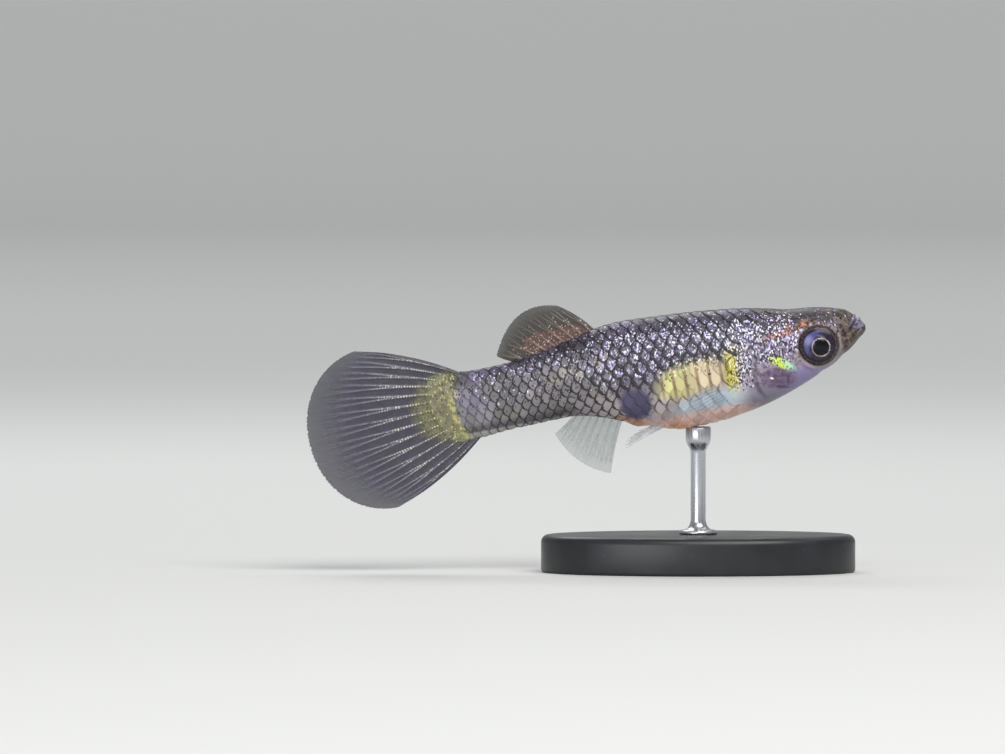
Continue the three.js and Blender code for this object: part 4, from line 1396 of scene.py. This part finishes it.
# %% [markdown]
# The tail fin is the largest: a round, smoky fan with a slight ripple. Its tip is written as an angle and a
# length, because that is how a fan opens, and its root follows the rounded end of the stalk. The olive cap of
# the stalk runs on over its root.


# %% The tail fin
TAIL_LENGTH, TAIL_DROOP, TAIL_OPENING = 12.5, -5, 42


def tail_tip(t):
    """The rim of the fan, longest in the middle."""
    u = 1 - 2 * t
    turn = np.radians(TAIL_DROOP + TAIL_OPENING * u)
    length = TAIL_LENGTH * (1 - 0.23 * np.abs(u) ** 2.3)
    return np.stack([-STANDARD_LENGTH - length * np.cos(turn), 0 * t, -0.2 + length * np.sin(turn)], -1)


def tail_root(t):
    """The root, sunk 0.7 mm into the end of the stalk and leaning with it."""
    z = back_at(STANDARD_LENGTH) * 0.96 * (1 - t) + belly_at(STANDARD_LENGTH) * 0.98 * t
    return np.stack([-STANDARD_LENGTH + 0.7 - ROOT_LEAN * z, 0 * t, z], -1)


def tail_wave(t, v):
    """The ripple of the fan, in millimetres to the side, growing towards the rim."""
    return 0.42 * v**2 * np.sin(4.2 * t - 0.9)


tail_finish = fin_finish(
    "tail_fin_finish", light(54, 52, 70), light(116, 112, 128), 0.8, 0.95,
    root=((33.4, -0.2), (3.0, 2.75), light(134, 131, 86), light(78, 80, 58)), beads=(0.5,),
)
tail = fin_mesh("tail_fin_sheet", tail_root, tail_tip, 14, 0.5, tail_wave, rows=90, fringe=0.2)
fish_piece(tail, "tail_fin_sheet", tail_finish, ["tail_fin"])

# %% [markdown]
# The back fin stands behind the middle of the back, with a rusty root and pink flecks. The anal fin is
# rounded, as a female's is, and almost clear. Both grow out of the middle line, so their roots follow the
# back and the belly and are sunk under the skin, where no gap can open.


# %% The back fin and the anal fin
SUNK = 0.75


def rooted(start, end, line, sink):
    """The root of a middle fin: a stretch of the back or the belly, sunk under the skin."""
    def at(t):
        s = start + (end - start) * t
        return np.stack([-s, 0 * t, line(s) + sink], -1)

    return at


def dorsal_wave(t, v):
    """The ripple of the back fin."""
    return 0.25 * v**2 * np.sin(3 * t)


def anal_wave(t, v):
    """The ripple of the anal fin, to the other side."""
    return -0.3 * v**2 * np.cos(2.6 * t)


dorsal_finish = fin_finish(
    "dorsal_fin_finish", light(62, 57, 48), light(104, 95, 84), 0.78, 0.92,
    root=((24.0, 3.5), (3.0, 0.9), light(116, 84, 74), light(76, 60, 57)),
    flecks=(light(224, 184, 168), 0.3, 0.8),
)
dorsal_tip = bow((-23.6, 0, 6.15), (-26.8, 0, 6), (-29.15, 0, 3.15))
dorsal = fin_mesh("dorsal_fin_sheet", rooted(20.7, 26.4, back_at, -SUNK), dorsal_tip, 8, 0.28, dorsal_wave)
fish_piece(dorsal, "dorsal_fin_sheet", dorsal_finish, ["dorsal_fin"])

anal_finish = fin_finish("anal_fin_finish", light(132, 144, 142), light(160, 170, 168), 0.3, 0.6)
anal_tip = bow((-21.95, 0, -7.75), (-24.25, 0, -6.3), (-25.75, 0, -3.85))
anal = fin_mesh("anal_fin_sheet", rooted(19.9, 23.4, belly_at, SUNK), anal_tip, 7, -0.15, anal_wave)
fish_piece(anal, "anal_fin_sheet", anal_finish, ["anal_fin"])

# %% [markdown]
# The paired fins come twice, mirrored: the side fins stand off the flank behind the gill slit, clear as glass
# with dark rays, and the white pelvic fins trail folded under the belly. Their rays don't fork at this size.
# A mirror modifier would turn the ripple round too, but on a swimming fish the two sides never match exactly,
# so only the borders are mirrored.


# %% The paired fins
def pectoral_borders(side):
    """Root and tip of a side fin, on the left for 1 and on the right for -1."""
    def root(t):
        z = -1.95 - 1.1 * t
        return np.stack([0 * t - 10.75, side * (side_at_height(10.75, z) - 0.7), z], -1)

    def away(s, z, out):
        return (-s, side * (BODY_WIDTH / 2 + out), z)

    return root, bow(away(15.1, -2.85, 0.75), away(15.85, -4.1, 1), away(14.2, -4.85, 0.9))


def pelvic_borders(side):
    """The same for a pelvic fin."""
    def root(t):
        return np.stack([-16.1 - 0.8 * t, side * (0.85 - 0.3 * t), belly_at(16.3 + 0.6 * t) + 0.65], -1)

    return root, bow((-20.4, side * 1.75, -6), (-20.0, side * 1.25, -5.35), (-18.9, side * 0.68, -4.8))


def paired_wave(t, v):
    """The ripple of the paired fins."""
    return 0.12 * v**2 * np.sin(5 * t)


clear_finish = fin_finish("pectoral_fin_finish", light(160, 180, 194), light(70, 76, 92), 0.03, 0.42)
white_finish = fin_finish("pelvic_fin_finish", light(206, 204, 216), light(255, 255, 255), 0.2, 0.98)
both_make = {"wave": paired_wave, "forks": 0, "skin_thick": 0.06}
pectoral_make = {"rays": 8, "bulge": 0.25, "rows": 54, "ray_thick": 0.07}
pelvic_make = {"rays": 6, "bulge": -0.12, "rows": 48, "ray_thick": 0.1, "fringe": 0.5}
for name, side in (("left", 1), ("right", -1)):
    for kind, borders, finish, make in (
        ("pectoral", pectoral_borders, clear_finish, pectoral_make),
        ("pelvic", pelvic_borders, white_finish, pelvic_make),
    ):
        sheet = fin_mesh(f"{kind}_{name}_sheet", *borders(side), **both_make, **make)
        fish_piece(sheet, f"{kind}_{name}_sheet", finish, [f"{kind}_fin_{name}"])

# %% [markdown]
# The stand is plain on purpose: an oval of satin black acrylic and a thin steel rod with a foot and a small
# cup. It has to fit the solids, so its sizes are read from their boxes instead of being typed again.

# %% The stand's sizes from its solids
base_low, base_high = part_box("stand_base")
rod_low, rod_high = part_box("stand_rod")
base_size = base_high - base_low
print("base", in_mm(base_size), "mm, rod", round((rod_high.z - rod_low.z) * 1000, 1), "mm")

# %% [markdown]
# The base is a cylinder stretched one way. Real acrylic is never quite sharp, so both edges are bevelled in a
# few segments and catch a line of light. The sheet is polished but has been touched: a haze varies its
# roughness, and a little dust lies on it.


# %% The base
TOP_BEVEL, FOOT_BEVEL = 0.6 * MM, 0.25 * MM


def base_mesh():
    """The oval, its upper edge rounded more than its lower one."""
    oval = bmesh.new()
    bmesh.ops.create_cone(oval, cap_ends=True, segments=128, radius1=0.5, radius2=0.5, depth=base_size.z)
    bmesh.ops.scale(oval, verts=oval.verts, vec=(base_size.x, base_size.y, 1))
    bmesh.ops.translate(oval, verts=oval.verts, vec=(base_low + base_high) / 2)
    rims = [edge for edge in oval.edges if len({round(v.co.z, 6) for v in edge.verts}) == 1]
    for offset, at in ((TOP_BEVEL, base_high.z), (FOOT_BEVEL, base_low.z)):
        edges = [e for e in rims if e.is_valid and abs(e.verts[0].co.z - at) < 1e-6]
        bmesh.ops.bevel(oval, geom=edges, offset=offset, segments=5, profile=0.5, affect="EDGES", material=-1)
    return mesh_from(oval, "stand_base_oval")


def acrylic_finish():
    """Satin black, hazy and a little dusty."""
    finish = Finish("stand_acrylic_finish")
    spot = finish.add("TexCoord", out=OBJECT)
    haze = finish.noise(spot, 260.0, 4.0)
    dust = finish.noise(spot, 2600.0, 2.0)
    colour = finish.blend(finish.ramp(haze, 0.35, 0.7), light(26, 27, 30), light(36, 37, 41))
    colour = daub(finish, colour, finish.ramp(dust, 0.72, 0.8), light(120, 120, 124), 0.35)
    bump = finish.add("Bump", {"Height": dust, "Strength": 0.12, "Distance": 0.00002})
    finish.set(Base_Color=colour, Normal=bump, Roughness=finish.ramp(haze, 0.3, 0.7, 0.3, 0.42))
    return finish.material


piece_from(base_mesh(), "stand_base_oval", acrylic_finish(), ["stand_base"])

# %% [markdown]
# The rod is turned from steel: a flat foot, a hollow curve up to the thin shaft, and a flared cup that
# carries the belly. Its profile is spun, as the eye's was. Drawn steel keeps fine lines along its length,
# which a noise stretched far along its axis gives.


# %% The rod
FOOT_RADIUS, SHAFT_RADIUS, CUP_RADIUS = 1.5 * MM, 0.6 * MM, 1.0 * MM


def rod_mesh():
    """Foot, hollow curve, shaft and cup, from the base up."""
    foot, top = rod_low.z, rod_high.z
    profile = [(0, foot), (FOOT_RADIUS, foot), (FOOT_RADIUS, foot + 0.00022), (0.00142, foot + 0.00034)]
    for i in range(9):
        turn = i / 8 * math.pi / 2
        radius = SHAFT_RADIUS + 0.0006 * (1 - math.sin(turn))
        profile.append((radius, foot + 0.00038 + 0.0008 * (1 - math.cos(turn))))
    for i in range(9):
        flare = (CUP_RADIUS - SHAFT_RADIUS) * float(step(i / 8, 0, 1))
        profile.append((SHAFT_RADIUS + flare, top - 0.0021 + 0.0011 * i / 8))
    profile += [(CUP_RADIUS, top - 0.00012), (0.00094, top), (0, top)]
    mesh = spun("stand_rod_steel", profile, ALONG_Z, 48, 1e-7)
    mesh.transform(Matrix.Translation(((rod_low.x + rod_high.x) / 2, 0, 0)))
    return mesh


def steel_finish():
    """Drawn steel, with fine lines along the rod."""
    finish = Finish("stand_steel_finish")
    spot = finish.add("TexCoord", out=OBJECT)
    long_way = finish.add("Mapping", {"Vector": spot, "Scale": (9000.0, 9000.0, 250.0)})
    brushed = finish.noise(long_way, 1.0, 3.0)
    colour = finish.blend(finish.ramp(brushed, 0.3, 0.7), light(176, 178, 182), light(206, 208, 212))
    bump = finish.add("Bump", {"Height": brushed, "Strength": 0.1, "Distance": 0.00002})
    finish.set(Base_Color=colour, Metallic=1.0, Normal=bump)
    finish.set(Roughness=finish.ramp(brushed, 0.3, 0.7, 0.22, 0.34))
    return finish.material


piece_from(rod_mesh(), "stand_rod_steel", steel_finish(), ["stand_rod"])

# %% [markdown]
# The set is a pale sweep: a floor that curves up into a wall behind, so that there is no horizon. It is made
# by extruding one edge along a path, and marked as stage, because it isn't part of the fish. It is wide and
# deep enough for a camera to go right round the fish and stay in front of the wall.


# %% The pale sweep
SWEEP_FRONT, SWEEP_REAR, SWEEP_HALF_WIDTH, WALL_HEIGHT = 1.6, 1.2, 1.6, 0.8
BEND_STEPS, BEND_STEP = 12, 0.04


def sweep_mesh():
    """The floor, a quarter bend in short steps, and the wall."""
    sheet = bmesh.new()
    ends = [sheet.verts.new((x, -SWEEP_FRONT, 0)) for x in (-SWEEP_HALF_WIDTH, SWEEP_HALF_WIDTH)]
    edges = [sheet.edges.new(ends)]
    moves = [(0, SWEEP_FRONT + SWEEP_REAR, 0)]
    for i in range(BEND_STEPS):
        turn = (i + 0.5) / BEND_STEPS * math.pi / 2
        moves.append((0, BEND_STEP * math.cos(turn), BEND_STEP * math.sin(turn)))
    moves.append((0, 0, WALL_HEIGHT))
    for move in moves:
        made = bmesh.ops.extrude_edge_only(sheet, edges=edges)["geom"]
        bmesh.ops.translate(sheet, verts=[g for g in made if isinstance(g, bmesh.types.BMVert)], vec=move)
        edges = [g for g in made if isinstance(g, bmesh.types.BMEdge)]
    return mesh_from(sheet, "studio_sweep")


paper = Finish("studio_paper")
paper.set(Base_Color=light(206, 207, 204), Roughness=0.9)
sweep = bpy.data.objects.new("studio_sweep", sweep_mesh())
sweep.data.shade_smooth()
sweep.data.materials.append(paper.material)
bpy.context.scene.collection.objects.link(sweep)
sweep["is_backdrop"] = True
print("the sweep rises", SWEEP_REAR, "m behind the fish")

# %% [markdown]
# Light comes from above and a little in front, as in the photo, where the back and crown are lit and the
# scales flash. A broad soft light does that. A weaker fill stands low on the tail's side, and a faint light
# from behind shines through the fins. The wall of the sweep is far off, so it has a light of its own.


# %% Lights
def soft_light(name, spot, target, size, power, tone=(1, 1, 1)):
    """A rectangle of light at spot that faces target. Places and sizes are in metres, power in watts."""
    lamp = bpy.data.lights.new(name, "AREA")
    lamp.shape = "RECTANGLE"
    lamp.size, lamp.size_y = size
    lamp.energy = power
    lamp.color = tone
    holder = bpy.data.objects.new(name, lamp)
    holder.location = spot
    holder.rotation_euler = (Vector(target) - Vector(spot)).to_track_quat("-Z", "Y").to_euler()
    bpy.context.scene.collection.objects.link(holder)


aim = (0, 0, 0.016)
soft_light("key", (0.12, -0.26, 0.34), aim, (0.34, 0.26), 1.5, (1, 0.98, 0.95))
soft_light("fill", (-0.2, -0.4, 0.05), aim, (0.3, 0.16), 0.7, (0.95, 0.97, 1))
soft_light("rim", (-0.06, 0.24, 0.26), aim, (0.2, 0.12), 0.3)
soft_light("sweep_light", (0, 0.45, 0.9), (0, 1.25, 0.05), (1.4, 0.5), 5)
print("three soft lights on the fish and one on the sweep")

# %% [markdown]
# A dim, slightly blue sky fills the shadows from every side. The view transform is set to Standard, so that
# colours come out as they were written, and don't get the softer contrast of Blender's film look.


# %% Sky
SKY_TONE, SKY_STRENGTH = (0.9, 0.93, 1, 1), 0.42
world = bpy.data.worlds.new("studio_air")
world.use_nodes = True
sky = world.node_tree.nodes["Background"]
sky.inputs["Color"].default_value = SKY_TONE
sky.inputs["Strength"].default_value = SKY_STRENGTH
bpy.context.scene.world = world
bpy.context.scene.view_settings.view_transform = "Standard"
print("a sky of strength", SKY_STRENGTH)

# %% [markdown]
# The photo is taken square on to the side of the fish. At 12.58 pixels to the millimetre its frame is 79.9 mm
# wide, and its middle lies 6.56 mm behind the middle of the model and 15.52 mm above the floor. A long lens a
# metre away keeps the perspective flat.

# %% Camera
PHOTO_WIDTH_PX, PX_PER_MM, SENSOR_MM = 1005, 12.58, 36
DISTANCE, ELEVATION = 1.0, 2.0
AIM = Vector((-6.56, 0, 15.52)) * MM

camera_data = bpy.data.cameras.new("photo_camera")
camera_data.sensor_width = SENSOR_MM
camera_data.lens = SENSOR_MM * DISTANCE / (PHOTO_WIDTH_PX / PX_PER_MM * MM)
camera_data.clip_start, camera_data.clip_end = 0.01, 10
camera = bpy.data.objects.new("photo_camera", camera_data)
rise = math.radians(ELEVATION)
camera.location = AIM + Vector((0, -math.cos(rise), math.sin(rise))) * DISTANCE
camera.rotation_euler = (AIM - camera.location).to_track_quat("-Z", "Y").to_euler()
bpy.context.scene.collection.objects.link(camera)
bpy.context.scene.camera = camera
print("lens", round(camera_data.lens, 1), "mm")

# %% The sizes of the solids and of the dressed model
sizes = {
    "cad": [list(corner) for corner in cad_box],
    "visual": [list(corner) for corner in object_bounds()],
}
print("dressed model from", in_mm(sizes["visual"][0]), "to", in_mm(sizes["visual"][1]), "mm")
